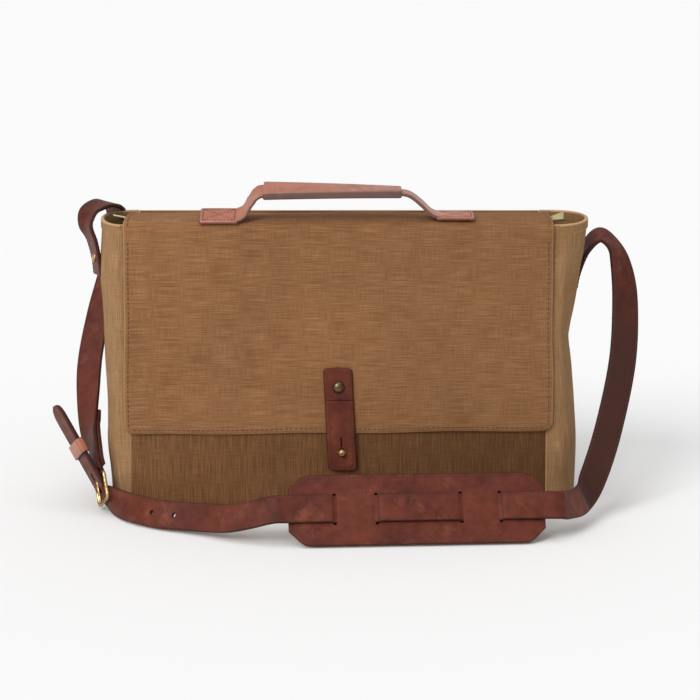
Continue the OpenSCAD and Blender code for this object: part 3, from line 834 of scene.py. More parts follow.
seam_lines = []
for side, name in ((-1, "left_rim_hem"), (1, "right_rim_hem")):
    line, angle = gusset_line(side, RIM_Z - 3.8, 10, 172, 24, -0.4)
    rows = np.concatenate([line, np.tile([0, 0, 1.0], (24, 1))], -1)
    hem = add_band(name, rows, 8.4, 3.0, CANVAS_SIDE_LIT, "bag_body", steps=4)
    line, angle = gusset_line(side, RIM_Z - 6.6, 12, 170, 120, 0.75)
    out = np.stack([side * np.sin(angle), -np.cos(angle), 0 * angle], -1)
    seam_lines.append(stitch_line(line, out, 3.6, 0.4))
stitches = add_stitches("body_stitches", seam_lines, THREAD_TAN, "bag_body")
print("body stitches:", len(stitches.data.vertices) // 24)

# %% [markdown]
# ## The zip
# The zip is open. Its teeth, slider and pull are CAD nodes that only need their finish. Its cloth strips
# and the two pale tape ends that show beside the flap are soft, so they are modelled again as thin
# sheets.

# %% Zip
for node in ("zip_teeth_front", "zip_teeth_back", "zip_slider", "zip_pull", "stud_washer", "anchor_washers"):
    frame["nodes"][node].data.materials.clear()
    frame["nodes"][node].data.materials.append(BRASS)

for node, name in (("zip_strip_front", "front_zip_strip"), ("zip_strip_back", "back_zip_strip")):
    low, high = (np.array(c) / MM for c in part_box(node))
    x, y = grid(low[0] + 0.8, high[0] - 0.8, 141, low[1] + 0.8, high[1] - 0.8, 9)
    z = (low[2] + high[2]) / 2 + 0.25 * soft(x * 2, y, 1.0)
    strip = add_sheet(name, np.stack([x, y, z], -1), min(high[2] - low[2] - 0.4, 1.4), LINING, "bag_body")
    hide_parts(node)

for side, name in ((-1, "zip_tape_left"), (1, "zip_tape_right")):
    u, v = grid(0, 1, 25, -1, 1, 17)
    x = side * (168 + 27 * u)
    half = 8.5 * (1 - 0.75 * u**2)
    y = 17 + half * v - 2 * u
    z = RIM_Z - 5.0 + 5.2 * u**1.5 + 1.6 * u * v * side + 0.8 * np.sin(u * 6 + v * 2)
    middle = np.stack([x, y, z], -1)
    tape = add_sheet(name, middle if side > 0 else middle[::-1], 1.5, TAPE, "bag_body")
    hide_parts("zip_end_left" if side < 0 else "zip_end_right")

# %% [markdown]
# ## Padded laptop sleeve
# The sleeve is a quilted panel: two cloths stitched together in a few vertical channels over foam. Its
# thickness swells between the channels as a sine raised to 0.4, and closes at the border as a square
# root.

# %% Sleeve
low, high = (np.array(c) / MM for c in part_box("laptop_sleeve"))
mid_y, half_t = (low[1] + high[1]) / 2, (high[1] - low[1]) / 2
u, v = grid(low[0], high[0], 141, low[2], high[2], 61)
CHANNELS = 5
channel = np.abs(np.sin((u - low[0]) / (high[0] - low[0]) * np.pi * CHANNELS)) ** 0.4
border = np.minimum(np.minimum(u - low[0], high[0] - u), np.minimum(v - low[2], high[2] - v))
swell = half_t * (0.35 + 0.65 * channel) * np.sqrt(np.clip(border / 9, 0, 1))
front_skin = np.stack([u, mid_y - swell, v], -1)
back_skin = np.stack([u, mid_y + swell, v], -1)
rows, cols = u.shape
ids = np.arange(rows * cols).reshape(rows, cols)
under = ids.copy()
under[1:-1, 1:-1] = rows * cols + np.arange((rows - 2) * (cols - 2)).reshape(rows - 2, cols - 2)
f = quads(rows, cols)
points = np.concatenate([front_skin.reshape(-1, 3), back_skin[1:-1, 1:-1].reshape(-1, 3)])
sleeve = add_piece("padded_laptop_sleeve", points, np.concatenate([f, under.ravel()[f][:, ::-1]]), LINING,
                   "bag_body", points[:, [0, 2]], rim=np.full(len(points), NO_RIM))
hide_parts("laptop_sleeve")
print("sleeve thickness:", round(2 * float(swell.max()), 1), "mm")

# %% [markdown]
# ## The flap
# The flap is one lined sheet, sewn to the back of the rim. Its profile runs over the mouth, bends at a
# soft shoulder and hangs down the front. The sheet is worked out over width and distance along that
# profile and pushed out along its normal by slow waves and by two long creases.

# %% Flap profile
FLAP_T = 2.2
FLAP_ROWS = [[49.0, 246.7], [40, 248.0], [28, 248.9], [16, 249.3], [6, 249.2], [-3, 248.6], [-9.3, 247.8],
             [-14.0, 246.5], [-17.0, 243.8], [-18.3, 239.6], [-19.2, 234.0]]
flap_foot = [float(front_y(FLAP_LOW)) - 2.0, FLAP_LOW]
profile = smooth_route(np.array(FLAP_ROWS), 8)
drop = np.linspace(0, 1, 70)[1:, None]
profile = np.concatenate([profile, profile[-1] + drop * (np.array(flap_foot) - profile[-1])])
run = np.concatenate([[0], np.cumsum(np.linalg.norm(np.diff(profile, axis=0), axis=-1))])
FLAP_LEN = run[-1]


def flap_point(x, s):
    """The profile at distance s, pushed out along its normal by waves and creases."""
    yz = np.stack([np.interp(s, run, profile[:, k]) for k in (0, 1)], -1)
    ahead = np.stack([np.interp(s + 2, run, profile[:, k]) for k in (0, 1)], -1)
    behind = np.stack([np.interp(s - 2, run, profile[:, k]) for k in (0, 1)], -1)
    along = unit(ahead - behind)
    out = np.stack([along[..., 1], -along[..., 0]], -1)
    hang = np.clip((s - 60) / 150, 0, 1)
    push = 0.2 + 0.45 * soft(x, s, 0.4) * (0.35 + 0.65 * hang)
    push += 0.55 * np.exp(-((x + 166 - 0.02 * s) / 5) ** 2) * np.clip((s - 50) / 40, 0, 1)
    push += 0.5 * np.exp(-((x - 60 - 0.1 * s) / 30) ** 2) * hang
    push += 0.5 * np.clip(1 - s / 60, 0, 1) * np.sin(x * 0.045 + 0.6) * np.sin(np.clip(s / 60, 0, 1) * np.pi)
    yz = yz + out * push[..., None]
    edge = 1 + 0.7 * soft(s * 2, x * 0, 5.0) * np.abs(x / FLAP_HALF) ** 8 / FLAP_HALF
    sag = np.clip((s - 120) / 120, 0, 1) * (1.9 - 1.9 * x / FLAP_HALF + 0.5 * np.sin(x * 0.05))
    return np.stack([x * edge, yz[..., 0], yz[..., 1] - sag * hang], -1), out


# %% Flap sheet
ROUND = 8.0
u, s = grid(-1, 1, 151, 0.0, FLAP_LEN, 121)
short = np.clip(s - (FLAP_LEN - ROUND), 0, ROUND)
half = FLAP_HALF - (ROUND - np.sqrt(ROUND**2 - short**2 * 0.98))
middle, out = flap_point(u * half, s)
flap = add_sheet("flap_canvas", middle, FLAP_T, CANVAS, None)
hinge = {j["name"]: j for j in frame["record"]["behaviour"]["joints"]}
fold = np.array(hinge["flap_fold"]["pos_m"])
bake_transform(flap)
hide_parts("flap_top", "flap_front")
print("flap cut:", round(2 * FLAP_HALF), "x", round(FLAP_LEN), "mm")

# %% [markdown]
# The hem is held by a line of tonal stitches a few millimetres inside the edge. The part above the fold
# rides on the top body and the rest on the front body, so that no stitch is left behind when the flap
# opens.

# %% Flap stitches
HEM_INSET = 2.9
HEM_CORNER = 3
FOLD_CLEAR = 6


def flap_run(x, s):
    """Stitches on the flap's outer face, along given widths and distances."""
    centre, out = flap_point(x, s)
    normal = np.concatenate([np.zeros((len(x), 1)), out], -1)
    return stitch_line(centre + normal * FLAP_T / 2, normal, 4.2, 0.42)


fold_s = float(np.interp(-fold[2] / MM, -profile[:, 1], run))
down = np.linspace(fold_s + FOLD_CLEAR, FLAP_LEN - HEM_INSET - HEM_CORNER, 160)
over = np.linspace(FOLD_CLEAR, fold_s - FOLD_CLEAR, 70)
rim_x = FLAP_HALF - HEM_INSET
wide = np.linspace(-(rim_x - HEM_CORNER), rim_x - HEM_CORNER, 200)
lines = [flap_run(np.full(160, side * rim_x), down) for side in (-1, 1)]
lines.append(flap_run(wide, np.full(200, FLAP_LEN - HEM_INSET)))
hem = add_stitches("flap_front_stitches", lines, THREAD_TAN, "flap_front")
lines = [flap_run(np.full(70, side * rim_x), over) for side in (-1, 1)]
lines += [flap_run(wide, np.full(200, 4.0)), flap_run(wide, np.full(200, 9.0))]
top_hem = add_stitches("flap_top_stitches", lines, THREAD_TAN, "flap_top")

# %% [markdown]
# The flap is joined to the back panel by a strip of canvas that bends when the flap is thrown back.

# %% Back hinge strip
strip_rows = smooth_route(np.array([[53.2, 222.0], [53.3, 238.0], [53.2, 245.0], [50.8, 248.6], [45.0, 249.6],
                                    [38.0, 250.4]]), 6)
x, k = grid(-SEAM + 2, SEAM - 2, 61, 0, len(strip_rows) - 1, 31)
at = np.arange(len(strip_rows))
middle = np.stack([x, np.interp(k, at, strip_rows[:, 0]), np.interp(k, at, strip_rows[:, 1])], -1)
strip = add_sheet("flap_hinge_strip", middle[::-1], 1.2, CANVAS_SIDE_LIT, None)
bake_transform(strip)

# %% [markdown]
# ## The closure
# A short strap hangs from the middle of the flap. Its upper part is sewn and riveted down, and the lower
# part lifts off a ball stud through a round hole with a slit above it, so that the leather can spread
# over the ball.

# %% Closure strap
TAB_W = 25.0
TAB_X = 3.0
lean = math.atan2(LEAN, LEAN_OVER)
OUT = np.array([0.0, -math.cos(lean), math.sin(lean)])
TAB_SKEW = 0.05
TAB_T = 2.8
TAB_OFF = 4.85
TAB_CORNER = 3.0
STUD_Z = 53.0
TAB_LOW, TAB_PARTS, TAB_HIGH = 38.0, (96.4, 97.6), 124.0


def on_front(x, z, off):
    """A point at height z on the front panel's plane, moved out by off and across by x, with the skew."""
    x, z = np.asarray(x, float), np.asarray(z, float)
    base = np.stack([TAB_X + x - TAB_SKEW * (z - STUD_Z), front_y(z) + 0 * x, z + 0 * x], -1)
    return base + OUT * np.asarray(off)[..., None]


def tab_sheet(name, z0, z1, round_z, body, bow=0.0):
    """A strip between two heights, rounded at the end at round_z, whose middle bows out as half a sine."""
    u, z = grid(-1, 1, 25, z0, z1, 61)
    short = np.clip(TAB_CORNER - np.abs(z - round_z), 0, TAB_CORNER)
    half = TAB_W / 2 - 1.2 - (TAB_CORNER - np.sqrt(TAB_CORNER**2 - short**2 * 0.98))
    off = TAB_OFF + bow * np.sin((z - z0) / (z1 - z0) * np.pi) * (1 - 0.3 * u**2)
    return add_sheet(name, on_front(u * half, z, off), TAB_T, LEATHER, body)


upper = tab_sheet("closure_patch", TAB_PARTS[1], TAB_HIGH, TAB_HIGH, "flap_front")
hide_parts("closure_anchor")
lower = tab_sheet("closure_strap", TAB_LOW, TAB_PARTS[0], TAB_LOW, "closure_tab", bow=0.3)
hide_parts("closure_tab")

# %% [markdown]
# A hole is cut by taking a prism away from the leather. The boolean is applied at once, so that the piece
# keeps no modifier and no cutter is left in the scene.

# %% Keyhole in the strap
def prism_faces(sides):
    """The faces of a prism whose two rings of points follow each other."""
    return [*quads(2, sides, wrap=True).tolist(), list(range(sides))[::-1], [sides + k for k in range(sides)]]


def cut_out(piece, points, faces):
    """Takes a closed mesh away from a piece, in place."""
    cutter = add_piece("cutter", points, faces, LEATHER, None)
    modifier = piece.modifiers.new("cut", "BOOLEAN")
    modifier.operation = "DIFFERENCE"
    modifier.solver = "EXACT"
    modifier.object = cutter
    bpy.context.view_layer.update()
    result = bpy.data.meshes.new_from_object(piece.evaluated_get(bpy.context.evaluated_depsgraph_get()))
    piece.modifiers.clear()
    piece.data = result
    bpy.data.objects.remove(cutter)


HOLE_R = 3.6
SLIT_HALF, SLIT_TOP = 0.6, 12.5
keyhole = [[HOLE_R * math.cos(a), HOLE_R * math.sin(a)] for a in np.radians(np.linspace(100, 440, 33) - 360)]
keyhole += [[SLIT_HALF, SLIT_TOP], [-SLIT_HALF, SLIT_TOP]]
cut = np.array([[on_front(px, STUD_Z + pz, off) for px, pz in keyhole] for off in (1.0, 12.0)])
cut_out(lower, cut.reshape(-1, 3), prism_faces(len(keyhole)))
print("closure strap:", len(lower.data.polygons), "faces after the keyhole")

# %% Closure stitches and brass
tab_half = TAB_W / 2 - TAB_CORNER


def tab_run(points, off):
    """Stitches along a polyline given in the closure's own x and height."""
    return stitch_line(dense(np.array([on_front(px, pz, off) for px, pz in points]), 20), OUT, 3.0, 0.36)


patch_off = TAB_OFF + TAB_T / 2
STITCH_TOP, STITCH_LOW = 95, 41
runs = [tab_run([(-tab_half, 100.4), (tab_half, 100.4)], patch_off),
        tab_run([(-tab_half, 100.4), (-tab_half, 121), (tab_half, 121), (tab_half, 100.4)], patch_off)]
patch_stitches = add_stitches("closure_patch_stitches", runs, THREAD_DARK, "flap_front")
runs = [tab_run([(way * tab_half, STITCH_TOP), (way * tab_half, 68), (way * tab_half, STITCH_LOW)],
                patch_off + 0.25) for way in (-1, 1)]
runs.append(tab_run([(-tab_half, STITCH_LOW), (tab_half, STITCH_LOW)], patch_off + 0.1))
strap_stitches = add_stitches("closure_strap_stitches", runs, THREAD_DARK, "closure_tab")

RIVET_Z = 108.0
dome = [[0, 0.0], [4.9, 0.0], [5.2, 0.35], [5.0, 1.0], [4.2, 1.9], [3.0, 2.6], [1.6, 3.0], [0.6, 3.12],
        [0, 3.15]]
rivet = add_turned("closure_dome_rivet", dome, on_front(0.0, RIVET_Z, patch_off - 0.1), OUT, DARK_BRASS,
                   "flap_front")
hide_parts("closure_rivet")
BALL = 3.25
BALL_OFF = 3.1 + 0.5 + TAB_T + 2
NECK_TURN = 58
angles = np.radians(np.linspace(-NECK_TURN, 90, 15))
neck_top = BALL_OFF - BALL * math.sin(math.radians(NECK_TURN))
lathe = [[0, 0.1], [4.4, 0.1], [4.6, 0.6], [4.2, 1.2], [1.9, 1.6], [1.7, neck_top]]
lathe += [[BALL * math.cos(a), BALL_OFF + BALL * math.sin(a)] for a in angles[:-1]] + [[0, BALL_OFF + BALL]]
stud_foot = np.array([TAB_X, float(front_y(STUD_Z)), STUD_Z])
stud = add_turned("closure_ball_stud", lathe, stud_foot, OUT, BRASS, "bag_body")
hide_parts("closure_stud")

# %% [markdown]
# ## The handle
# Each end of the handle is sewn flat on the flap's shoulder with a boxed cross. Between them the strap
# rises into a stiff sleeve, the grip, which a hand has twisted a little.

# %% Handle feet
FEET = ((-102.0, -8.0, 250.1, math.radians(22)), (100.0, -5.0, 249.9, math.radians(6)))


def on_foot(k, x, v, off):
    """A point on foot k: x along it, v back over the flap, off out of it."""
    x0, y0, z0, a = FEET[k]
    back, out = np.array([0.0, math.cos(a), math.sin(a)]), np.array([0.0, -math.sin(a), math.cos(a)])
    return (np.array([x0, y0, z0]) + np.asarray(x)[..., None] * np.array([1.0, 0, 0])
            + np.asarray(v)[..., None] * back + np.asarray(off)[..., None] * out)


FOOT_A, FOOT_B = 15.2, 11.2
BOX_A, BOX_B = 13.6, 9.4
box = np.array([[-1, -1], [1, -1], [1, 1], [-1, 1], [-1, -1], [1, 1]]) * [BOX_A, BOX_B]
cross = np.array([[-1, 1], [1, -1]]) * [BOX_A, BOX_B]
runs = []
for k in range(2):
    u, v = grid(-FOOT_A, FOOT_A, 31, -FOOT_B, FOOT_B, 25)
    droop = -0.25 * (v / FOOT_B) ** 2 - 0.15 * (u / FOOT_A) ** 4
    name = ("handle_foot_left", "handle_foot_right")[k]
    foot = add_sheet(name, on_foot(k, u, v, 2.3 + droop), 3.0, TAN, "flap_top")
    if k == 0:
        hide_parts("handle_feet")
    out = on_foot(k, 0.0, 0.0, 1.0) - on_foot(k, 0.0, 0.0, 0.0)
    for path in (box, cross):
        x, v = dense(path, 24).T
        runs.append(stitch_line(on_foot(k, x, v, 3.72 - 0.25 * (v / FOOT_B) ** 2), out, 2.9, 0.36))
foot_stitches = add_stitches("handle_foot_stitches", runs, THREAD_DARK, "flap_top")
print("stitches on the feet:", sum(len(r) for r in runs))

# %% Handle strap and grip
def tilt(degrees):
    """The direction across the handle, turned up at its back by some degrees."""
    return [0.0, math.cos(math.radians(degrees)), math.sin(math.radians(degrees))]


HANDLE_ROWS = [[-98, -8.6, 252.1, *tilt(22)], [-88, -8.5, 252.3, *tilt(22)], [-80.5, -8.2, 256.2, *tilt(23)],
               [-75, -7.6, 264.5, *tilt(24)], [-69.5, -7.2, 271.2, *tilt(22)], [-62, -7, 273.2, *tilt(18)],
               [-30, -7, 273.6, *tilt(13)], [20, -7, 273.0, *tilt(5)], [50, -7, 272.2, *tilt(3)],
               [61, -7, 270.4, *tilt(4)], [71, -6.6, 263.0, *tilt(6)], [79, -6, 255.4, *tilt(6)],
               [86.5, -5.4, 252.4, *tilt(6)], [98, -5.2, 252.1, *tilt(6)]]
strap = add_band("handle_strap_leather", HANDLE_ROWS, 23.4, 2.8, TAN, None, steps=8,
                 width=lambda s: 1 - 0.06 * np.sin(np.clip(s / s[-1], 0, 1) * np.pi) ** 0.5)
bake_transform(strap)
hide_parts("handle_strap")
grip_rows = [[x, -7, 273.4 - 0.010 * (x + 5) - 0.00012 * (x + 5) ** 2, *tilt(10 - 0.125 * (x + 5))]
             for x in np.linspace(-64, 54, 18)]


def end_round(s):
    """Rounds the two ends of the grip over 2.5 mm."""
    near = np.clip(np.minimum(s, s[-1] - s) / 2.5, 0, 1)
    return 0.86 + 0.14 * np.sqrt(1 - (1 - near) ** 2)


grip = add_band("grip_leather", grip_rows, 26.0, 6.8, TAN, "handle", steps=6, thick=end_round, corner=1.5,
                width=lambda s: 0.5 + 0.5 * end_round(s))
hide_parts("grip_sleeve")

# %% [markdown]
# ## The shoulder strap
# The strap is one long band: from the right gusset it arches over and down, folds to the floor, runs
# through the pad along the front, and turns up through the buckle to its free end. Its width narrows to a
# round tip there, and its holes are punched right through.

# %% Strap routes
pad_yaw, pad_lean = math.radians(3.4), math.radians(38)
PAD_CENTRE = np.array([64.7, -127.8, 27.7])
pad_dir = np.array([math.cos(pad_yaw), math.sin(pad_yaw), 0])
pad_up = np.array([-math.sin(pad_yaw) * math.sin(pad_lean), math.cos(pad_yaw) * math.sin(pad_lean),
                   math.cos(pad_lean)])
pad_in = np.cross(pad_up, pad_dir)
BUCKLE_AT = np.array([-204.0, -45.0, 20.5])
tail_dir = unit(np.array([-41.0, 23, 66]))
tail_side = np.array([0.42, -0.82, 0.36])
tail_side = unit(tail_side - tail_dir * (tail_side @ tail_dir))
tail_back = np.cross(tail_dir, tail_side)
TAIL_LEN = 83.0


def tail_row(d, back=0.0):
    """A row of the strap at distance d past the buckle, and back behind the free end."""
    return [*(BUCKLE_AT + d * tail_dir + back * tail_back), *(-tail_side)]


def over_pad(x, out):
    """A row of the strap in the pad's frame, moved out of the pad's plane."""
    return [*(PAD_CENTRE + x * pad_dir - out * pad_in), *(-pad_up)]


SLOTS = (-66.7, -33.5, 37.0, 68.2)
PROUD, SUNK = 1.7, -4.6
THROUGH = []
for k in (3, 2, 1, 0):
    near, far = (PROUD, SUNK) if k % 2 else (SUNK, PROUD)
    THROUGH += [over_pad(SLOTS[k] + 5.5, near), over_pad(SLOTS[k] + 2.2, near * 0.6 + far * 0.2),
                over_pad(SLOTS[k] - 2.2, near * 0.2 + far * 0.6), over_pad(SLOTS[k] - 5.5, far)]
RIGHT_ROUTE = [
    [208.2, 30, 185, 0, 1, 0], [210.6, 30, 198, 0, 1, 0], [218, 31, 219, 0, 0.93, 0.3],
    [230, 32, 230, 0.1, 0.93, 0.36], [242, 30, 221, 0.35, 0.88, 0.25],
    [248, 25, 205, 0.75, 0.6, 0], [251.5, 17, 173, 0.95, 0.3, 0],
    [247.5, -4, 123, 1, 0.1, -0.1], [232, -34, 67, 0.9, -0.1, -0.4], [215, -64, 31, 0.45, -0.4, -0.75],
    [203, -93, 24, 0.1, -0.6, -0.8], [190, -113, 26, 0, -0.6, -0.8],
    over_pad(118, 1.0), over_pad(106, PROUD), over_pad(88, PROUD), *THROUGH[:4], over_pad(53, SUNK)]
LEFT_ROUTE = [
    over_pad(55, SUNK), over_pad(51, SUNK), *THROUGH[4:8], over_pad(18, PROUD), over_pad(0, PROUD),
    over_pad(-16, PROUD), *THROUGH[8:12], over_pad(-50, SUNK), *THROUGH[12:], over_pad(-88, PROUD),
    over_pad(-104, PROUD), over_pad(-118, 1.0),
    [-72, -131, 22.5, 0, -0.6, -0.8], [-90, -124, 17.5, 0, -0.55, -0.84],
    [-108, -114, 15, 0, -0.5, -0.87], [-128, -104, 13.5, 0, -0.5, -0.87], [-150, -94, 12.5, 0, -0.5, -0.87],
    [-172, -78, 12.5, -0.3, -0.3, -0.85], [-188, -61, 12.5, -0.4, 0.3, -0.8],
    tail_row(-5), tail_row(8), tail_row(20), tail_row(50), tail_row(TAIL_LEN)]
BUCKLE_ROUTE = [
    [-209.4, 12, 198, -0.38, 0.92, 0], [-211.0, 12, 213, -0.38, 0.92, 0], [-214, 12.5, 227, -0.42, 0.9, 0],
    [-219, 16, 241, -0.5, 0.85, 0.1], [-217, 26, 252.5, -0.55, 0.8, 0.15], [-207, 41, 257, -0.65, 0.75, 0.1],
    [-199, 57, 250, -0.75, 0.65, 0], [-199, 67, 230, -0.8, 0.6, 0], [-206, 70, 195, -0.85, 0.5, 0],
    [-217, 62, 155, -0.88, 0.45, 0], [-222.5, 38, 118, -0.85, 0.5, 0.1], [-221.5, 12, 90, -0.8, 0.6, -0.05],
    [-219, -8, 68, -0.62, 0.75, -0.2], tail_row(38, 13), tail_row(24, 7), tail_row(15, 4.6)]

# %% Straps
def strap_tip(s):
    """Full width down to the last half width, then a half circle."""
    into = np.clip((s - (s[-1] - STRAP_W / 2)) / (STRAP_W / 2), 0, 0.995)
    return np.sqrt(1 - into**2)


STEPS = 8
FOLD_ROW = 10
fold_run = float(route_frame(RIGHT_ROUTE, STEPS)[4][FOLD_ROW * STEPS])
centre, along, side, face, run = route_frame(LEFT_ROUTE, STEPS)


def inner_shade_share(s):
    """The inner side of the leather faces out between the arch and the fold on the floor; there it is rougher
    and painted dark as shade.
    """
    return np.clip((s - 70) / 80, 0, 1) * (s < fold_run - 4)


right_band = add_band("shoulder_strap_right", RIGHT_ROUTE, STRAP_W, STRAP_T, LEATHER, None, steps=STEPS,
                      rough_shaded_side=inner_shade_share)
left_band = add_band("shoulder_strap_left", LEFT_ROUTE, STRAP_W, STRAP_T, LEATHER, None, steps=STEPS,
                     width=strap_tip)
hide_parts("long_strap")
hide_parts("long_strap", "strap_tail")
buckle_band = add_band("buckle_strap_leather", BUCKLE_ROUTE, STRAP_W, STRAP_T, LEATHER, "bag_body",
                       steps=STEPS)
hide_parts("buckle_strap")
print("strap length:", round(float(run[-1]) + fold_run), "mm")

# %% [markdown]
# The buckle strap is doubled at its lower end: it goes round the buckle's upper bar and comes back up
# behind itself, where it is sewn down.

# %% Doubled end
DOUBLED = 62
TURN_R = 3.4
FRAME_HALF = 11.7
FRAME_SLANT = math.radians(20)
back_c, _, back_s, back_f, back_r = route_frame(BUCKLE_ROUTE, STEPS)
keep = np.flatnonzero(back_r > back_r[-1] - DOUBLED)[::STEPS // 2]
second = back_c[keep] + back_f[keep] * (STRAP_T + 0.2)
bar_at = BUCKLE_AT + (tail_dir * math.cos(FRAME_SLANT) + tail_back * math.sin(FRAME_SLANT)) * FRAME_HALF
to_bar = back_c[-1] - bar_at
turned = [bar_at + unit(to_bar * math.cos(a) + tail_dir * -TURN_R * math.sin(a)) * TURN_R
          for a in np.radians([35, 80, 125])]
double_rows = [[*p, *w] for p, w in zip(second, back_s[keep])]
double_band = add_band("buckle_strap_fold", double_rows, STRAP_W, STRAP_T, LEATHER, "bag_body", steps=4)
loop_rows = [[*back_c[-1], *back_s[-1]], *[[*p, *(-tail_side)] for p in turned]]
loop_band = add_band("buckle_strap_turn", loop_rows, STRAP_W - 0.6, STRAP_T, LEATHER, "bag_body", steps=4)

# %% [markdown]
# The holes are cut with one boolean, whose cutter is a set of small prisms across the strap. The longest
# one is the slot that the buckle's tongue comes through.

# %% Holes
def prism(point, out, up, half_long, radius, reach_mm=6.0, sides=16):
    """A stadium section, 2 * half_long longer than it is wide, carried along out."""
    a = (np.arange(sides) + 0.5) * 2 * np.pi / sides
    right = np.cross(up, out)
    high = radius * np.sin(a) + half_long * np.sign(np.sin(a))
    ring = (radius * np.cos(a))[:, None] * right + high[:, None] * up
    points = np.concatenate([point + ring - out * reach_mm, point + ring + out * reach_mm])
    return points, prism_faces(sides)


def punch(piece, prisms):
    """Cuts the prisms out of a piece, in place."""
    faces, start = [], 0
    for p, f in prisms:
        faces += [[i + start for i in one] for one in f]
        start += len(p)
    cut_out(piece, np.concatenate([p for p, f in prisms]), faces)


prisms = [prism(BUCKLE_AT + 6 * tail_dir, tail_back, tail_dir, 8.0, 1.9)]
for x in (-137.0, -157.0):
    k = int(np.argmin(np.abs(centre[:, 0] - x) + 999 * (centre[:, 2] > 60)))
    prisms.append(prism(centre[k], face[k], along[k], 0.0, 1.7))
punch(left_band, prisms)
print("shoulder strap faces:", len(left_band.data.polygons))

# %% Strap stitches
def band_stitches(rows, inset):
    """Lines of stitches a little inside both edges, on both faces, down to where the tip begins."""
    c, _, s, f, r = route_frame(rows, STEPS)
    keep = r <= r[-1] - STRAP_W / 2 - 1
    out = []
    for edge in (-1, 1):
        for way in (1, -1):
            line = c + s * edge * (STRAP_W / 2 - inset) + f * way * STRAP_T / 2
            out.append(stitch_line(line[keep], (f * way)[keep], 3.4, 0.34))
    return out


right_stitches = add_stitches("right_strap_stitches", band_stitches(RIGHT_ROUTE, 1.6), THREAD_RED, None)
left_stitches = add_stitches("left_strap_stitches", band_stitches(LEFT_ROUTE, 1.6), THREAD_RED, None)
buckle_stitches = add_stitches("buckle_strap_stitches", band_stitches(BUCKLE_ROUTE, 1.6), THREAD_RED,
                               "bag_body")

# %% [markdown]
# The pad slides along the strap. The two strap pieces and their stitches are baked where they lie.

# %% Bake the strap pieces where they lie
for piece, way in ((right_band, 1), (right_stitches, 1), (left_band, -1), (left_stitches, -1)):
    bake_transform(piece)

# %% [markdown]
# ## The buckle
# The buckle is a loop of round brass wire. Its tongue is a thinner wire that curls round the upper bar
# and rests on the lower one. A leather keeper holds the strap's free end down.

# %% Rings
def add_ring(name, loop, normal, axis, profile, material, body, rim_mm=10.0):
    """Carries a closed profile round a closed loop: its x goes along axis, its y along the loop's normal."""
    points = loop[:, None] + axis * profile[None, :, 0, None] + normal[:, None] * profile[None, :, 1, None]
    n, m = points.shape[:2]
    ids = np.arange(n * m).reshape(n, m)
    ids = np.concatenate([ids, ids[:1]])
    ids = np.concatenate([ids, ids[:, :1]], 1)
    f = np.stack([ids[:-1, :-1], ids[:-1, 1:], ids[1:, 1:], ids[1:, :-1]], -1).reshape(-1, 4)
    rim = np.broadcast_to(np.full(m, rim_mm) if np.isscalar(rim_mm) else rim_mm, (n, m)) * MM
    return add_piece(name, points.reshape(-1, 3), f, material, body, points.reshape(-1, 3)[:, :2], rim)


def rounded_loop(half_a, half_b, corner, a_dir, b_dir, centre_point, per_corner=9):
    """A rectangle with round corners in the plane of a_dir and b_dir, and its outward normals."""
    points, normals = [], []
    for k, (sa, sb) in enumerate(((1, 1), (-1, 1), (-1, -1), (1, -1))):
        turn = np.radians(np.linspace(0, 90, per_corner)) + k * np.pi / 2
        n = np.cos(turn)[:, None] * a_dir + np.sin(turn)[:, None] * b_dir
        middle = centre_point + sa * (half_a - corner) * a_dir + sb * (half_b - corner) * b_dir
        points.append(middle + n * corner)
        normals.append(n)
    return np.concatenate(points), np.concatenate(normals)


frame_back = tail_back * math.cos(FRAME_SLANT) - tail_dir * math.sin(FRAME_SLANT)
frame_up = tail_back * math.sin(FRAME_SLANT) + tail_dir * math.cos(FRAME_SLANT)
WIRE = 1.5
turn = np.arange(14) * 2 * np.pi / 14
round_wire = WIRE * np.stack([np.cos(turn), np.sin(turn)], -1)
loop, normal = rounded_loop(15.2, FRAME_HALF, 3.4, tail_side, frame_up, BUCKLE_AT)
buckle = add_ring("buckle_loop", loop, normal, frame_back, round_wire, BRASS, "bag_body")
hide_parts("buckle_frame")

bar = BUCKLE_AT + frame_up * FRAME_HALF
turn = np.radians(np.linspace(-90, 200, 24))
CURL_R = 2.75
curl = [bar + CURL_R * (np.cos(a) * frame_up + np.sin(a) * frame_back) for a in turn[::-1]]
rod_end = BUCKLE_AT - frame_up * 13.0 - frame_back * 2.9
rod = [curl[-1] + (rod_end - curl[-1]) * t for t in np.linspace(0, 1, 14)[1:]]
wire_rows = np.array([[*p, *tail_side] for p in curl + rod])
tongue = add_band("buckle_tongue_wire", wire_rows, 2.5, 2.4, BRASS, "buckle_tongue", steps=2, corner=1.08,
                  width=lambda s: 1 - 0.3 * np.clip((s - s[-1] + 8) / 8, 0, 1) ** 2)
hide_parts("buckle_tongue")

KEEPER_AT, KEEPER_GAP = 40, 1.3
loop, normal = rounded_loop(STRAP_W / 2 + KEEPER_GAP, STRAP_T / 2 + KEEPER_GAP, 2.2, tail_side, tail_back,
                            BUCKLE_AT + KEEPER_AT * tail_dir)
section = band_profile(13.0, 1.8, 0.8)
keeper = add_ring("keeper_loop", loop, normal, tail_dir, section, TAN, "strap_keeper",
                  6.5 - np.abs(section[:, 0]))
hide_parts("strap_keeper")

# %% Strap rivets
cap = [[0, -0.1], [3.7, -0.1], [4.0, 0.3], [3.8, 0.9], [3.0, 1.45], [1.8, 1.7], [0.8, 1.78], [0, 1.8]]
left_rivet = add_turned("left_strap_rivet", cap, np.array([-212.5, 11.3, 213]), np.array([-0.92, -0.38, 0.1]),
                        BRASS, "bag_body")
right_rivet = add_turned("right_strap_rivet", cap, np.array([212.3, 30, 198]), np.array([1.0, 0, -0.25]),
                         BRASS, "bag_body")
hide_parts("anchor_rivets")

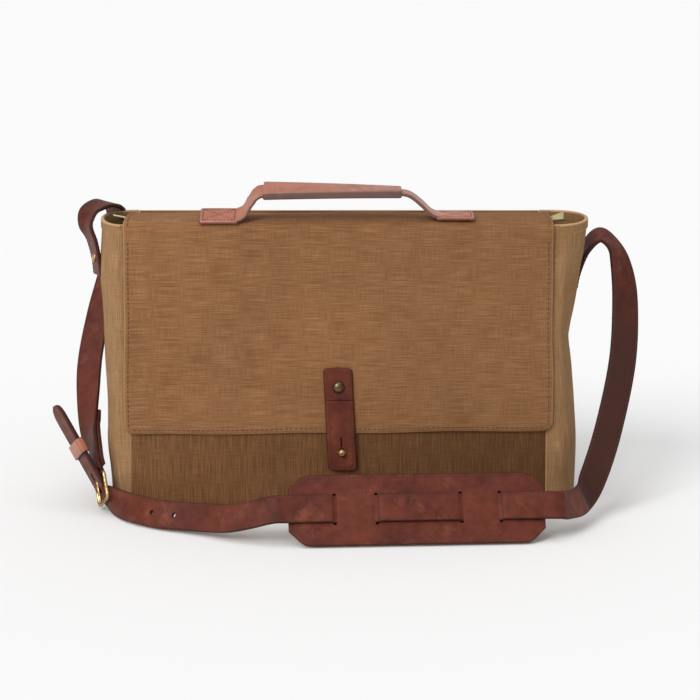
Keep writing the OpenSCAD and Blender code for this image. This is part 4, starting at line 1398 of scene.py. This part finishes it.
# %% [markdown]
# ## The shoulder pad
# The pad is an eight-sided piece of leather, a shallow swelling with four slots cut through it. The strap
# lies in front of it, dips behind it between each outer pair of slots, and comes out again.

# %% Shoulder pad
PAD_HALF_L, PAD_HALF_H, CHAMFER = 105.5, 31.0, 13.0
PAD_T, LINING_T = 2.6, 2.0


def on_pad(x, y, z):
    """A point in the pad's frame: x along it, y towards the bag, z up its slope."""
    return (PAD_CENTRE + np.asarray(x)[..., None] * pad_dir + np.asarray(y)[..., None] * pad_in
            + np.asarray(z)[..., None] * pad_up)


def pad_half(x, inset=0.0):
    """Half the pad's height at x: full, then cut at 45 degrees towards each end."""
    to_end = PAD_HALF_L - inset - np.abs(x)
    flat = PAD_HALF_H - inset
    cut = flat - CHAMFER + to_end
    return np.minimum(flat, cut) - 0.9 * np.exp(-((cut - flat) / 2.5) ** 2)


def between_slots(x, soft_mm, grow=0.0):
    """One where the strap runs behind the pad, between the slots of each pair, with S-shaped ends."""
    return sum(1 / (1 + np.exp(-(x - a + grow) / soft_mm)) / (1 + np.exp((x - b - grow) / soft_mm))
               for a, b in (SLOTS[:2], SLOTS[2:]))


def pad_plane(x, z):
    """The pad's middle surface: behind the strap, a little fuller where the strap passes behind it."""
    full = between_slots(x, 1.5)
    ends = 0.8 * (np.abs(x) / PAD_HALF_L) ** 4 + 0.5 * (np.abs(z) / PAD_HALF_H) ** 3
    return 1.5 - 0.9 * full * np.exp(-((z / 15) ** 4)) + ends


u, v = grid(-PAD_HALF_L + 1.1, PAD_HALF_L - 1.1, 180, -1, 1, 71)
z = v * (pad_half(u) - 1.1)
middle = on_pad(u, pad_plane(u, z), z)
pad = add_sheet("pad_leather", middle, PAD_T, LEATHER, "shoulder_pad",
                push=-np.broadcast_to(pad_in, middle.shape))
punch(pad, [prism(PAD_CENTRE + (x - 0.6 * (-1) ** k) * pad_dir, pad_in, pad_up, 12.4, 1.5)
            for k, x in enumerate(SLOTS)])
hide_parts("shoulder_pad")
u, v = grid(-PAD_HALF_L + 2.6, PAD_HALF_L - 2.6, 60, -1, 1, 25)
z = v * (pad_half(u, 1.5) - 0.9)
behind = 5.0 + 2.8 * between_slots(u, 2, 3) * np.exp(-((z / 17) ** 4))
backing = add_sheet("pad_backing", on_pad(u, behind, z), LINING_T, LINING, "shoulder_pad")
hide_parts("pad_lining")

# %% Pad stitches
PAD_INSET = 3.0
end_x = PAD_HALF_L - PAD_INSET
upper_x = np.linspace(-end_x, end_x, 240)
upper_z = pad_half(upper_x, PAD_INSET)
end_z = np.linspace(1, -1, 30) * float(pad_half(np.array(end_x), PAD_INSET))
outline = [np.stack([upper_x, upper_z], -1), np.stack([upper_x, -upper_z], -1)]
for way in (-1, 1):
    outline.append(np.stack([np.full(30, way * end_x), end_z], -1))
runs = []
for path in outline:
    line = on_pad(path[:, 0], pad_plane(path[:, 0], path[:, 1]) - PAD_T / 2 - 0.02, path[:, 1])
    runs.append(stitch_line(line, -pad_in, 3.4, 0.4))
pad_stitches = add_stitches("pad_stitches", runs, THREAD_RED, "shoulder_pad")
